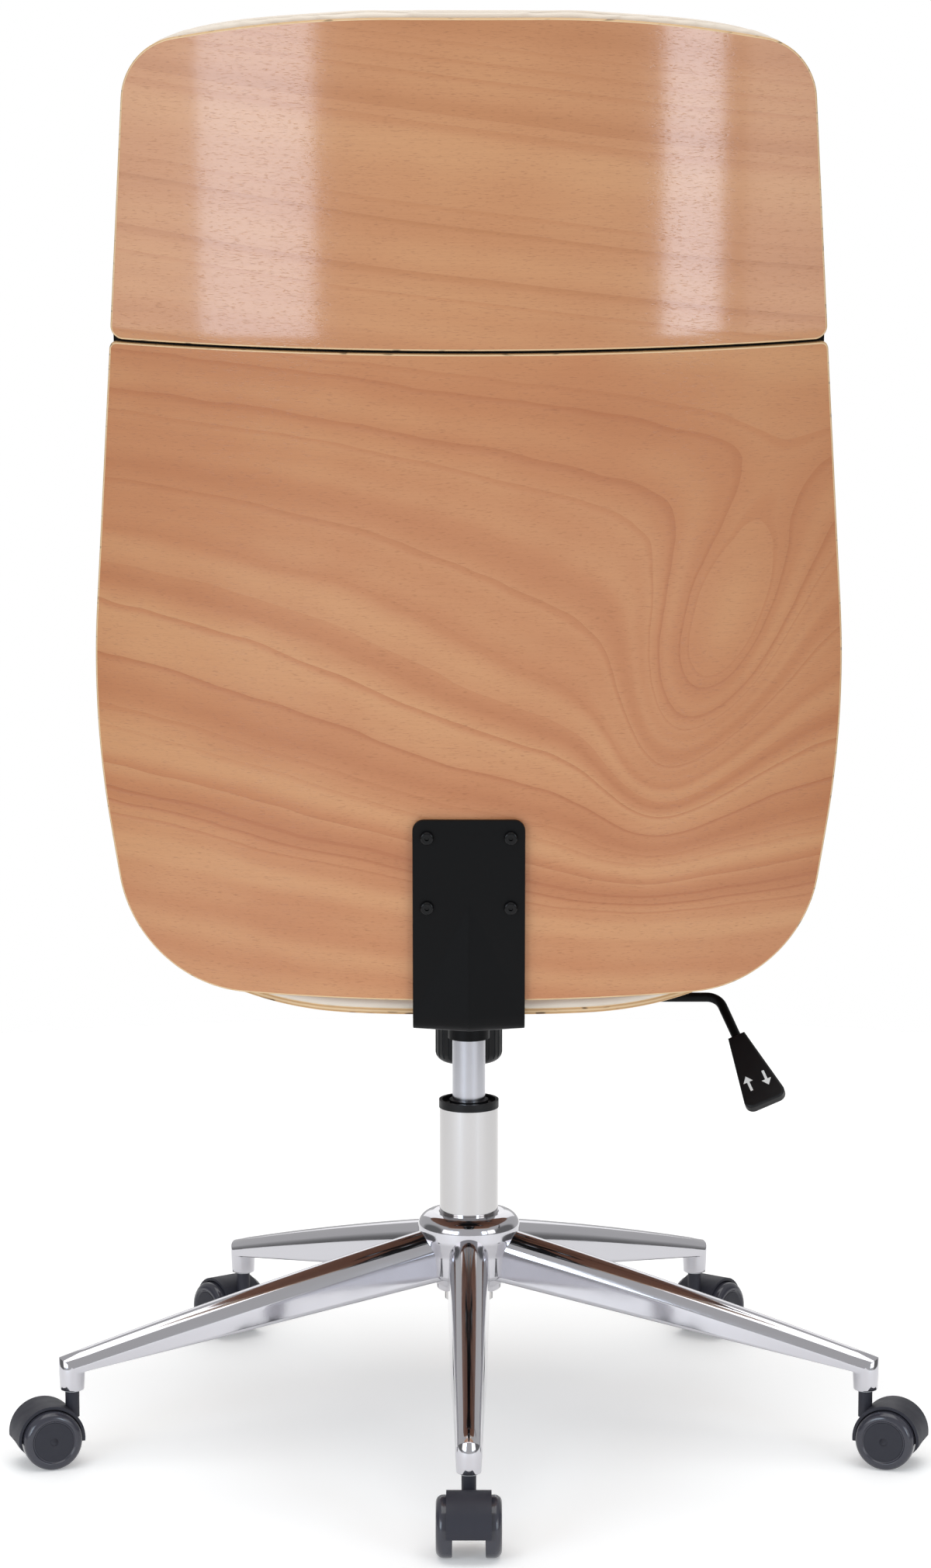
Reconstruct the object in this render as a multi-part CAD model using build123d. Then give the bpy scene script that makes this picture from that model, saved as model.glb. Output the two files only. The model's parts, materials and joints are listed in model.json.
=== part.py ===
from build123d import *
import math
import os

# High-backed office chair: two bentwood back shells and a bentwood seat, padded on the sitter's side,
# on a tilting swivel column with a five-legged cast base and twin-wheel casters.
# Millimetres and degrees. The origin is on the floor under the column axis, +Z is up, the sitter faces -Y.

# Clearances
run_clearance = 0.05          # radial, a shaft or slide in its bore
fit_clearance = 0.02          # radial, a fixed piece in its seat
swivel_gap = 0.2              # between flat faces that turn on each other
soft_gap = 0.3                # between upholstery and what it lies on

# Twin-wheel casters
leg_count = 5
caster_circle = 350.0         # column axis to caster stem
caster_trail = 22.0           # caster stem to wheel axle
wheel_radius = 25.0
wheel_width = 13.1
wheel_space = 26.4            # between the two wheels of a caster
wheel_shoulder = 6.0          # rounding of a wheel's outer edge
wheel_disc_radius = 17.5      # sunk disc on a wheel's outer side
wheel_disc_depth = 0.8
wheel_rim = 5.0               # rim thickness round the hollow inner side
wheel_hub_radius = 8.0
wheel_web = 4.0               # wall between the hollow and the outer side
axle_radius = 3.0
axle_cap = 3.2                # wheel wall that closes the axle bore
hood_width = 36.0
hood_wall = 2.5
hood_gap = 1.0                # between a wheel and its hood
hood_skirt = 3.0              # hood below the axle
hood_boss_radius = 7.0
neck_radius = 5.9
stem_radius = 5.0
stem_grip = 22.0              # stem length inside the leg
stem_root = 20.0              # stem length inside the neck
socket_wall = 0.9
socket_flange_radius = 8.0
socket_flange = 0.8

# Cast star base
leg_tip_height = 62.5         # floor to the underside of a leg's tip boss
tip_boss_radius = 10.0
leg_root_radius = 30.0        # column axis to a leg's root section
leg_root_top = 173.5
leg_root_bottom = 130.5
leg_root_half_width = 16.5
leg_tip_top = 91.0
leg_tip_bottom = 76.5
leg_tip_half_width = 9.6
leg_crown = 0.8               # rise of the rounded ridge for each millimetre of half width
leg_wall = 4.0
leg_hollow_start = 52.0       # the underside hollow, from the column axis
leg_hollow_end = 322.0
hub_top = 185.5
hub_rim_radius = 29.0
hub_radius = 40.0
hub_dome_radius = 14.0
hub_shoulder = 172.5          # height where the dome reaches its full radius
hub_skirt = 163.5
hub_body_radius = 33.0
hub_body_top = 155.5
hub_body_bottom = 130.5
hub_foot_radius = 27.0
hub_bottom = 122.5

# Gas lift
column_radius = 25.0
column_wall = 2.0
column_top = 280.5
column_neck_radius = 20.7     # narrowed lower end
column_bottom = 113.5
column_floor = 4.0
collar_height = 6.6
collar_overhang = 0.4
collar_rim = 2.5
collar_sink = 2.5
sleeve_length = 80.0
cylinder_radius = 14.0
cylinder_wall = 1.5
cylinder_length = 187.5
cylinder_plug = 14.0          # closed upper end
cylinder_taper = 1.0          # loss of radius along the cone
rod_guide_length = 12.0
rod_radius = 5.0
rod_tail = 5.0                # rod below the column floor
rod_shoulder_radius = 9.0
rod_shoulder = 3.0
piston_length = 12.0
piston_height = 247.5         # floor to the underside of the piston
bearing_radius = 12.0
bearing_washer = 1.5
bearing_cage = 4.0
clip_radius = 8.0
clip_thickness = 2.0
pin_radius = 4.0
pin_stand = 6.2               # release pin above the cylinder's end
pin_length = 17.0

# Tilt mechanism
mechanism_depth = 63.0        # seat underside to the socket's lower edge
socket_length = 24.5
socket_radius = 17.6
housing_floor_rise = 17.0      # socket's lower edge to the housing's underside
housing_sheet = 2.5
housing_half_width = 42.0
housing_front = -142.0
housing_rear = 32.0
housing_clear = 2.0           # under the seat plate at rest
tilt_range = 8.0
tilt_margin = 1.5             # extra slope of the housing's upper edge
pivot_forward = 125.0         # column axis to tilt pivot
pivot_drop = 14.0             # seat underside to tilt pivot
pivot_radius = 5.0
pivot_stand_out = 4.0
ear_gap = 2.5
ear_half_length = 13.0
ear_below_pivot = 9.0
knob_forward = 80.0
knob_radius = 29.0
knob_height = 50.0
knob_gap = 4.0
knob_round = 9.0
knob_flutes = 26
knob_flute_radius = 1.8
knob_flute_out = 0.6          # flute centres outside the knob's edge
bolt_radius = 5.0
bolt_reach = 24.0             # bolt above the housing floor
spring_mean_radius = 15.0
spring_wire = 5.0
spring_turns = 5
spring_gap = 1.0              # under the seat plate
cup_wall = 2.0
cup_height = 6.0

# Lever
lever_radius = 4.0
lever_gap = 0.3               # lever above the release pin
lever_inner_reach = 16.0      # past the column axis
lever_bend_reach = 212.0      # column axis to the bend
lever_bend_radius = 14.0
lever_drop_length = 62.0      # bend to the rod's end in the paddle
lever_heading = (-0.33, 0.69, -0.645)    # out, to the rear and down
paddle_facing = (0, 0.978, 0.208)        # roughly where the paddle's face looks
paddle_start = 44.0           # bend to the paddle's neck
paddle_length = 72.0
paddle_neck_width = 15.0
paddle_width = 38.0
paddle_thickness = 10.0
paddle_corner = 7.0
paddle_edge = 2.0
ring_radius = 6.2             # fulcrum ring on the lever
ring_length = 6.0
ring_bore_gap = 0.35
cross_pin_radius = 1.5        # pin across the lever, rocking in the ring
shelf_reach = 20.0            # fulcrum shelf outside the housing wall
shelf_half_width = 7.0
shelf_sheet = 2.5

# Seat
seat_height = 403.5           # floor to the seat shell's underside
seat_ply = 10.0
seat_flat_half_width = 100.0
seat_side_radius = 450.0
seat_half_width = 275.0       # at the rear, before its corners are rounded
seat_front_half_width = 262.0
seat_rear = 206.0
seat_front = 252.0            # column axis to the front edge
seat_front_bend = 160.0       # column axis to where the front starts to roll down
seat_front_radius = 180.0
seat_rear_corner = 230.0
seat_front_corner = 90.0
cushion_thickness = 62.0
cushion_edge = 42.0
cushion_side_bulge = 6.0
cushion_draw_in = 16.0
cushion_inset = 10.0
crown_power = 5               # how squarely a pad's thickness falls off towards its ends
plate_sheet = 3.0
plate_half_width = 92.0
plate_waist_half_width = 46.0
plate_front = 150.0
plate_front_wing = 78.0       # column axis to the rear edge of the front wings
plate_rear_wing = 50.0
plate_rear = 90.0
plate_corner = 8.0
plate_screw_x = 76.0
plate_screw_front = 105.0
plate_screw_rear = 70.0
screw_radius = 3.0
screw_head_radius = 6.0
screw_head = 4.0
screw_bite = 8.0              # screw length inside the seat shell

# Back
back_ply = 8.0
back_radius = 600.0           # plan radius of the outer face
back_foot_y = 234.0           # outer face on the centre line, at the foot of its side profile
back_foot_drop = 8.0          # seat underside to the foot of the profile
back_lower_lean = 7.0
back_lower_run = 191.0
back_lumbar_radius = 1800.0
back_upper_lean = 13.0
back_upper_run = 167.0
back_knee_radius = 200.0
head_lean = 3.0
head_margin = 34.0            # profile above the headrest, for cutting
outline_tilt = 3.5            # the outlines are cut square to a plane that leans this much
back_bottom_rise = 11.0       # outline heights above the seat's underside
back_widest_rise = 232.0
back_seam_rise = 545.0
head_rise = 256.0             # headrest's top above the seam
seam_gap = 2.5
back_bottom_half_width = 270.0
back_half_width = 305.0
back_seam_half_width = 281.5
head_half_width = 267.5
head_shoulder_drop = 26.0     # middle of the top edge to its corners
back_bottom_corner = 103.0
back_flank_round = 800.0
back_seam_corner = 6.0
head_seam_corner = 10.0
head_top_corner = 52.0
pad_thickness = 42.0
pad_edge = 30.0
pad_inset = 7.0
pad_side_bulge = 4.0
pad_draw_in = 12.0
pad_seam_inset = 4.0
pad_above_head = 6.0
pad_corner = 60.0
back_pad_rise = 78.0          # pad's lower edge above the seat's underside

# Back bracket and the straps behind the pads
bracket_width = 90.0
bracket_sheet = 4.0
bracket_gap = 0.1
bracket_rise = 169.0          # upright's top above the seat's underside
bracket_corner = 9.0
bracket_bend = 8.0
bracket_foot_front = 98.0
bracket_screw_x = 33.5
bracket_screw_drop = 14.0     # upright's top to its upper screws
bracket_screw_space = 58.0
button_head_radius = 5.5
button_head = 3.3
button_socket_radius = 2.0
button_socket_depth = 1.8
nut_flange_radius = 9.0
nut_flange = 1.2
nut_barrel_radius = 4.0
nut_sink = 1.0
foot_screw_x = 25.0
foot_screw_front = 116.0
foot_screw_rear = 196.0
strap_x = 115.0
strap_width = 34.0
strap_sheet = 2.5
strap_reach = 74.0            # seam to either end of a strap
strap_screw_near = 28.0
strap_screw_far = 56.0
strap_screw_bite = 6.0
strap_screw_radius = 2.0
strap_head_radius = 4.0
strap_head = 1.8

# Worked out from the sizes above
hood_radius = wheel_radius + hood_gap + hood_wall
web_half_width = wheel_space / 2 - hood_gap / 2
neck_top = leg_tip_height - socket_flange - swivel_gap
socket_bore = stem_radius + run_clearance
socket_outer = socket_bore + socket_wall
column_bore = column_radius - column_wall
cylinder_bore = cylinder_radius - cylinder_wall
collar_top = column_top + collar_height
column_floor_top = column_bottom + column_floor
bearing_top = column_floor_top + 2 * bearing_washer + bearing_cage
socket_bottom = seat_height - mechanism_depth
socket_top = socket_bottom + socket_length
cylinder_bottom = socket_top - cylinder_length
lever_height = socket_top + pin_stand + lever_gap + lever_radius
housing_bottom = socket_bottom + housing_floor_rise
housing_floor_top = housing_bottom + housing_sheet
plate_bottom = seat_height - plate_sheet
pivot_height = seat_height - pivot_drop
knob_top = housing_bottom - knob_gap
knob_bottom = knob_top - knob_height
ear_inner = housing_half_width + ear_gap
ear_outer = ear_inner + plate_sheet
back_foot_z = seat_height - back_foot_drop
back_bottom = seat_height + back_bottom_rise
back_widest_height = seat_height + back_widest_rise
back_seam = seat_height + back_seam_rise
head_top = back_seam + head_rise
head_run = head_rise + head_margin
back_pad_bottom = seat_height + back_pad_rise
bracket_top = seat_height + bracket_rise
bracket_screw_high = bracket_top - bracket_screw_drop
bracket_screw_low = bracket_screw_high - bracket_screw_space
far = 1500.0                  # larger than the chair, for cutting tools
thin = 0.01                   # thickness of a measuring slice


# Shared shapes
def disc(radius, low, high):
    """Upright cylinder on the column axis between two heights."""
    return Pos(0, 0, low) * Cylinder(radius, high - low, align=(Align.CENTER, Align.CENTER, Align.MIN))


def ring(outer, inner, low, high):
    """Upright tube on the column axis between two heights."""
    return disc(outer, low, high) - disc(inner, low, high)


def turned(points):
    """Solid turned about the column axis from a closed outline of (radius, height) points."""
    outline = make_face(Polyline(*points, close=True))
    return revolve(Plane.XZ * outline, Axis.Z)


def cross_rod(radius, length):
    """Cylinder along Y, centred on the origin."""
    return Rot(90, 0, 0) * Cylinder(radius, length)


def slab(x_range, y_range, z_range):
    """Box between two values on each axis."""
    size = [high - low for low, high in (x_range, y_range, z_range)]
    middle = [(high + low) / 2 for low, high in (x_range, y_range, z_range)]
    return Pos(*middle) * Box(*size)


def group(solids):
    """Separate solids that share one node."""
    return Compound(children=[Part() + solid for solid in solids])


# Casters, built about their stem with the trail along +X
def caster_hood():
    axle_place = Pos(caster_trail, 0, wheel_radius)
    upper_half = slab((-far, far), (-far, far), (wheel_radius - hood_skirt, far))
    hood = (axle_place * cross_rod(hood_radius, hood_width)) & upper_half
    pocket_width = hood_width / 2 - web_half_width
    for side in (-1, 1):
        pocket = cross_rod(wheel_radius + hood_gap, pocket_width)
        hood -= axle_place * Pos(0, side * (web_half_width + pocket_width / 2), 0) * pocket
    hood += axle_place * cross_rod(hood_boss_radius, 2 * web_half_width)
    hood += disc(neck_radius, neck_top - stem_root - hood_wall, neck_top)
    hood -= disc(stem_radius + fit_clearance, neck_top - stem_root, neck_top)
    hood -= axle_place * cross_rod(axle_radius + fit_clearance, hood_width)
    return hood


def caster_stem():
    return disc(stem_radius, neck_top - stem_root, leg_tip_height + stem_grip)


def caster_axle():
    half_length = wheel_space / 2 + wheel_width - axle_cap - swivel_gap
    return Pos(caster_trail, 0, wheel_radius) * cross_rod(axle_radius, 2 * half_length)


def caster_wheel(side):
    """One wheel: a rim and a hub on a web, with a rounded outer shoulder and a sunk disc."""
    inner = wheel_space / 2
    outer = inner + wheel_width
    bore = axle_radius + run_clearance
    hollow = outer - wheel_disc_depth - wheel_web
    rim_inside = wheel_radius - wheel_rim
    edge = [
        Line((inner, bore), (inner, wheel_hub_radius)),
        Line((inner, wheel_hub_radius), (hollow, wheel_hub_radius)),
        Line((hollow, wheel_hub_radius), (hollow, rim_inside)),
        Line((hollow, rim_inside), (inner, rim_inside)),
        Line((inner, rim_inside), (inner, wheel_radius)),
        Line((inner, wheel_radius), (outer - wheel_shoulder, wheel_radius)),
        CenterArc((outer - wheel_shoulder, wheel_radius - wheel_shoulder), wheel_shoulder, 0, 90),
        Line((outer, wheel_radius - wheel_shoulder), (outer, wheel_disc_radius)),
        Line((outer, wheel_disc_radius), (outer - wheel_disc_depth, wheel_disc_radius)),
        Line((outer - wheel_disc_depth, wheel_disc_radius), (outer - wheel_disc_depth, 0)),
        Line((outer - wheel_disc_depth, 0), (outer - axle_cap, 0)),
        Line((outer - axle_cap, 0), (outer - axle_cap, bore)),
        Line((outer - axle_cap, bore), (inner, bore)),
    ]
    wheel = revolve(make_face(edge), Axis.X)
    return Pos(caster_trail, 0, wheel_radius) * Rot(0, 0, 90 * side) * wheel


def caster_places():
    """Where the caster stems stand, the first leg pointing to the rear."""
    return [Rot(0, 0, 90 + 360 * i / leg_count) * Pos(caster_circle, 0, 0) for i in range(leg_count)]


# Star base
def leg_section(radius, wall):
    """Cross-section of a leg at a distance from the column axis, drawn in by a wall."""
    share = (radius - leg_root_radius) / (caster_circle - leg_root_radius)
    half_width = leg_root_half_width + share * (leg_tip_half_width - leg_root_half_width) - wall
    top = leg_root_top + share * (leg_tip_top - leg_root_top) - wall
    bottom = leg_root_bottom + share * (leg_tip_bottom - leg_root_bottom)
    shoulder = top - leg_crown * half_width
    if wall:
        bottom -= leg_wall
    outline = [
        Line((-half_width, bottom), (half_width, bottom)),
        Line((half_width, bottom), (half_width, shoulder)),
        ThreePointArc((half_width, shoulder), (0, top), (-half_width, shoulder)),
        Line((-half_width, shoulder), (-half_width, bottom)),
    ]
    return Plane(origin=(radius, 0, 0), x_dir=(0, 1, 0), z_dir=(1, 0, 0)) * make_face(outline)


def star_leg():
    """One leg along +X, with a round end over the upright boss that takes the caster."""
    end = caster_circle + 2 * tip_boss_radius
    beam = loft([leg_section(leg_root_radius, 0), leg_section(end, 0)], ruled=True)
    boss_place = Pos(caster_circle, 0, 0)
    kept = slab((0, caster_circle), (-far, far), (0, far)) + boss_place * disc(tip_boss_radius, 0, far)
    boss = boss_place * disc(tip_boss_radius, leg_tip_height, (leg_tip_top + leg_tip_bottom) / 2)
    hollow = loft(
        [leg_section(leg_hollow_start, leg_wall), leg_section(leg_hollow_end, leg_wall)], ruled=True
    )
    return (beam & kept) - hollow + boss


def star_base():
    edge = [
        Line((0, hub_top), (hub_rim_radius, hub_top)),
        RadiusArc((hub_rim_radius, hub_top), (hub_radius, hub_shoulder), hub_dome_radius),
        Line((hub_radius, hub_shoulder), (hub_radius, hub_skirt)),
        Line((hub_radius, hub_skirt), (hub_body_radius, hub_body_top)),
        Line((hub_body_radius, hub_body_top), (hub_body_radius, hub_body_bottom)),
        Line((hub_body_radius, hub_body_bottom), (hub_foot_radius, hub_body_bottom)),
        Line((hub_foot_radius, hub_body_bottom), (hub_foot_radius, hub_bottom)),
        Line((hub_foot_radius, hub_bottom), (0, hub_bottom)),
        Line((0, hub_bottom), (0, hub_top)),
    ]
    base = revolve(Plane.XZ * make_face(edge), Axis.Z)
    leg = star_leg()
    for i in range(leg_count):
        base += Rot(0, 0, 90 + 360 * i / leg_count) * leg
    base -= disc(column_radius + fit_clearance, 0, far)
    for place in caster_places():
        base -= place * disc(socket_outer + fit_clearance, 0, leg_tip_height + stem_grip + fit_clearance)
    return base


def caster_socket():
    """Flanged steel sleeve in a leg's tip."""
    sleeve = ring(socket_outer, socket_bore, leg_tip_height, leg_tip_height + stem_grip)
    return sleeve + ring(socket_flange_radius, socket_bore, leg_tip_height - socket_flange, leg_tip_height)


# Gas lift
def column_tube():
    step = column_radius - column_neck_radius
    neck_bore = column_neck_radius - column_wall
    return turned([
        (rod_radius + run_clearance, column_bottom),
        (column_neck_radius, column_bottom),
        (column_neck_radius, hub_bottom),
        (column_radius, hub_bottom + step),
        (column_radius, column_top),
        (column_bore, column_top),
        (column_bore, hub_bottom + step),
        (neck_bore, hub_bottom),
        (neck_bore, column_floor_top),
        (rod_radius + run_clearance, column_floor_top),
    ])


def guide_sleeve():
    """Plastic sleeve that guides the cylinder, with the collar that closes the tube."""
    bore = cylinder_radius + run_clearance
    collar_radius = column_radius + collar_overhang
    sleeve = ring(column_bore - fit_clearance, bore, column_top - sleeve_length, column_top)
    sleeve += ring(collar_radius, bore, column_top, collar_top)
    groove = ring(collar_radius - collar_rim, bore + collar_rim, collar_top - collar_sink, collar_top)
    return sleeve - groove


def thrust_bearing():
    bore = rod_radius + run_clearance
    lower = column_floor_top + bearing_washer
    upper = lower + bearing_cage
    return group([
        ring(bearing_radius, bore, column_floor_top, lower),
        ring(bearing_radius, bore, lower, upper),
        ring(bearing_radius, bore, upper, bearing_top),
    ])


def piston_rod():
    rod = disc(rod_radius, column_bottom - rod_tail, piston_height + piston_length)
    shoulder_low = bearing_top + run_clearance
    return rod + disc(rod_shoulder_radius, shoulder_low, shoulder_low + rod_shoulder)


def piston():
    top = piston_height + piston_length
    return ring(cylinder_bore - run_clearance, rod_radius + fit_clearance, piston_height, top)


def end_clip():
    top = column_bottom - swivel_gap
    return ring(clip_radius, rod_radius + fit_clearance, top - clip_thickness, top)


def gas_cylinder():
    top_radius = cylinder_radius - cylinder_taper
    pin_bore = pin_radius + run_clearance
    return turned([
        (cylinder_bore, cylinder_bottom),
        (cylinder_radius, cylinder_bottom),
        (cylinder_radius, socket_bottom),
        (top_radius, socket_top),
        (pin_bore, socket_top),
        (pin_bore, socket_top - cylinder_plug),
        (cylinder_bore, socket_top - cylinder_plug),
    ])


def rod_guide():
    top = cylinder_bottom + rod_guide_length
    return ring(cylinder_bore - fit_clearance, rod_radius + run_clearance, cylinder_bottom, top)


def release_pin():
    top = socket_top + pin_stand
    return disc(pin_radius, top - pin_length, top)


def cone_socket():
    top_radius = cylinder_radius - cylinder_taper
    return turned([
        (cylinder_radius + fit_clearance, socket_bottom),
        (socket_radius, socket_bottom),
        (socket_radius, socket_top),
        (top_radius + fit_clearance, socket_top),
    ])


# Tilt mechanism
def tilt_housing():
    """Folded steel box, high at the pivot in front and low behind the column."""
    high = plate_bottom - housing_clear
    fall = math.tan(math.radians(tilt_range + tilt_margin))
    rear_top = high - (housing_rear + pivot_forward) * fall
    side = make_face(Polyline(
        (housing_front, housing_bottom),
        (housing_rear, housing_bottom),
        (housing_rear, rear_top),
        (-pivot_forward, high),
        (housing_front, high),
        close=True,
    ))
    half = housing_half_width
    box = extrude(Plane.YZ * side, half, both=True)
    inside = half - housing_sheet
    front_inside = housing_front + housing_sheet
    rear_inside = housing_rear - housing_sheet
    box -= slab((-inside, inside), (front_inside, rear_inside), (housing_floor_top, far))
    shelf_top = lever_height - ring_radius - lever_gap
    shelf = slab(
        (-half - shelf_reach, -inside + housing_sheet),
        (-shelf_half_width, shelf_half_width),
        (shelf_top - shelf_sheet, shelf_top),
    )
    notch = slab((-far, -inside + housing_sheet), (-shelf_half_width, shelf_half_width), (shelf_top, far))
    box = box - notch + shelf
    box -= disc(socket_radius + fit_clearance, 0, far)
    box -= Pos(0, -knob_forward, 0) * disc(bolt_radius + run_clearance, 0, far)
    pivot_bore = Rot(0, 90, 0) * Cylinder(pivot_radius + fit_clearance, far)
    box -= Pos(0, -pivot_forward, pivot_height) * pivot_bore
    return box


def pivot_pin():
    length = 2 * (ear_outer + pivot_stand_out)
    return Pos(0, -pivot_forward, pivot_height) * Rot(0, 90, 0) * Cylinder(pivot_radius, length)


def tension_knob():
    knob = disc(knob_radius, knob_bottom, knob_top)
    knob = fillet(knob.edges().group_by(Axis.Z)[0], knob_round)
    for i in range(knob_flutes):
        place = Rot(0, 0, 360 * i / knob_flutes) * Pos(knob_radius + knob_flute_out, 0, 0)
        knob -= place * disc(knob_flute_radius, 0, far)
    knob -= disc(bolt_radius + fit_clearance, knob_bottom + knob_round, far)
    return Pos(0, -knob_forward, 0) * knob


def tension_bolt():
    top = housing_floor_top + bolt_reach
    return Pos(0, -knob_forward, 0) * disc(bolt_radius, knob_bottom + knob_round, top)


def spring_cup():
    """Pressed cup on the housing floor that holds the spring's lower end."""
    rim = spring_mean_radius + spring_wire / 2 + run_clearance
    bore = bolt_radius + swivel_gap
    cup = ring(rim + cup_wall, bore, housing_floor_top, housing_floor_top + cup_height)
    cup -= ring(rim, bore, housing_floor_top + cup_wall, housing_floor_top + cup_height)
    return Pos(0, -knob_forward, 0) * cup


def tilt_spring():
    """Compression spring between the cup and the seat plate."""
    low = housing_floor_top + cup_wall + spring_wire / 2 + run_clearance
    high = plate_bottom - spring_gap - spring_wire / 2
    height = high - low
    path = Helix(height / spring_turns, height, spring_mean_radius, center=(0, -knob_forward, low))
    section = Plane(origin=path @ 0, z_dir=path % 0) * Circle(spring_wire / 2)
    return sweep(section, path, is_frenet=True)


# Lever
def lever_way():
    """Direction of the lever beyond its bend, and the directions across and out of the paddle."""
    along = Vector(lever_heading).normalized()
    across = along.cross(Vector(paddle_facing)).normalized()
    return along, across, across.cross(along)


def lever_bend():
    return Vector(-lever_bend_reach, 0, lever_height)


def fulcrum_place():
    return Pos(-housing_half_width, 0, lever_height)


def lever_rod():
    along = lever_way()[0]
    start = Vector(lever_inner_reach, 0, lever_height)
    end = lever_bend() + along * lever_drop_length
    path = FilletPolyline(start, lever_bend(), end, radius=lever_bend_radius)
    section = Plane(origin=start, z_dir=(-1, 0, 0)) * Circle(lever_radius)
    cross_pin = Cylinder(cross_pin_radius, 2 * (ring_radius - run_clearance))
    return sweep(section, path) + fulcrum_place() * Rot(90, 0, 0) * cross_pin


def lever_paddle():
    along, across, out = lever_way()
    origin = lever_bend() + along * paddle_start
    outline = make_face(Polyline(
        (0, -paddle_neck_width / 2),
        (paddle_length, -paddle_width / 2),
        (paddle_length, paddle_width / 2),
        (0, paddle_neck_width / 2),
        close=True,
    ))
    outline = fillet(outline.vertices().group_by(Axis.X)[-1], paddle_corner)
    blade = extrude(outline, paddle_thickness / 2, both=True)
    blade = fillet(blade.faces().filter_by(Axis.Z).edges(), paddle_edge)
    bore_length = lever_drop_length - paddle_start + fit_clearance
    bore = Pos(bore_length / 2, 0, 0) * Rot(0, 90, 0) * Cylinder(lever_radius + fit_clearance, bore_length)
    return Plane(origin=origin, x_dir=along, z_dir=out) * (blade - bore)


def fulcrum_ring():
    """Ring that rides on the housing's shelf and carries the lever on its cross pin."""
    bore = lever_radius + ring_bore_gap
    tube = Cylinder(ring_radius, ring_length) - Cylinder(bore, ring_length)
    pin_bore = Rot(90, 0, 0) * Cylinder(cross_pin_radius + run_clearance, 2 * far)
    return fulcrum_place() * (Rot(0, 90, 0) * tube - pin_bore)


# Seat
def seat_path():
    """Side profile of the seat's underside, from the rear to the front, level and then rolled down."""
    corner = (-seat_front_bend, seat_height)
    run = Line((seat_rear + seat_ply, seat_height), corner)
    reach = math.degrees(math.asin((seat_front + seat_ply - seat_front_bend) / seat_front_radius))
    roll = JernArc(corner, (-1, 0), seat_front_radius, reach)
    return Plane.YZ * Wire([run, roll])


def seat_band(low, high):
    """Layer of the seat between two heights above its underside, flat in the middle with raised sides."""
    turn = math.degrees(math.asin((seat_half_width - seat_flat_half_width + seat_ply) / seat_side_radius))
    inner = seat_side_radius - high
    outer = seat_side_radius - low
    flat = seat_flat_half_width
    edges = [Line((-flat, low), (flat, low)), Line((-flat, high), (flat, high))]
    for side in (-1, 1):
        middle = (side * flat, seat_side_radius)
        under = CenterArc(middle, outer, -90, side * turn)
        over = CenterArc(middle, inner, -90, side * turn)
        edges += [under, over, Line(under @ 1, over @ 1)]
    path = seat_path()
    face = Plane(origin=path @ 0, x_dir=(1, 0, 0), z_dir=path % 0) * make_face(edges)
    return sweep(face, path)


def seat_outline(inset):
    """Plan of the seat, round at the rear, drawn in by an inset."""
    rear = seat_half_width - inset
    front = seat_front_half_width - inset
    outline = make_face(Polyline(
        (-rear, seat_rear - inset),
        (-front, inset - seat_front),
        (front, inset - seat_front),
        (rear, seat_rear - inset),
        close=True,
    ))
    outline = fillet(outline.vertices().group_by(Axis.Y)[-1], seat_rear_corner - inset)
    return fillet(outline.vertices().group_by(Axis.Y)[0], seat_front_corner - inset)


def plate_screw_places():
    return [
        Pos(side * plate_screw_x, y, 0) for side in (-1, 1) for y in (-plate_screw_front, plate_screw_rear)
    ]


def foot_screw_places():
    return [Pos(side * foot_screw_x, y, 0) for side in (-1, 1) for y in (foot_screw_front, foot_screw_rear)]


def seat_shell():
    shell = seat_band(0, seat_ply) & extrude(seat_outline(0), far)
    for place in plate_screw_places() + foot_screw_places():
        shell -= place * disc(screw_radius + fit_clearance, 0, seat_height + screw_bite)
    return shell


def seat_screw(plate_low):
    """Pan-head screw up through a plate into the seat shell."""
    screw = disc(screw_radius, plate_low - screw_head, seat_height + screw_bite)
    return screw + disc(screw_head_radius, plate_low - screw_head, plate_low)


def swollen(share):
    """Thickness of a pad along its length: thin at both ends, full in the middle."""
    return (1 - abs(2 * share - 1) ** crown_power) ** (1 / crown_power)


def slices():
    """Shares of a pad's length where its cross-sections are drawn, close together at the ends."""
    return [0.006, 0.03, 0.1, 0.25, 0.5, 0.75, 0.9, 0.97, 0.994]


def half_width_at(outline, height):
    """Half the width of a symmetric outline at a height."""
    strip = outline & (Pos(0, height) * Rectangle(far, thin))
    return strip.bounding_box().max.X


def seat_rise(x):
    """How far the seat's side has risen at a distance from the centre line."""
    past_flat = max(x - seat_flat_half_width, 0)
    return seat_side_radius - math.sqrt(seat_side_radius ** 2 - past_flat ** 2)


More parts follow.
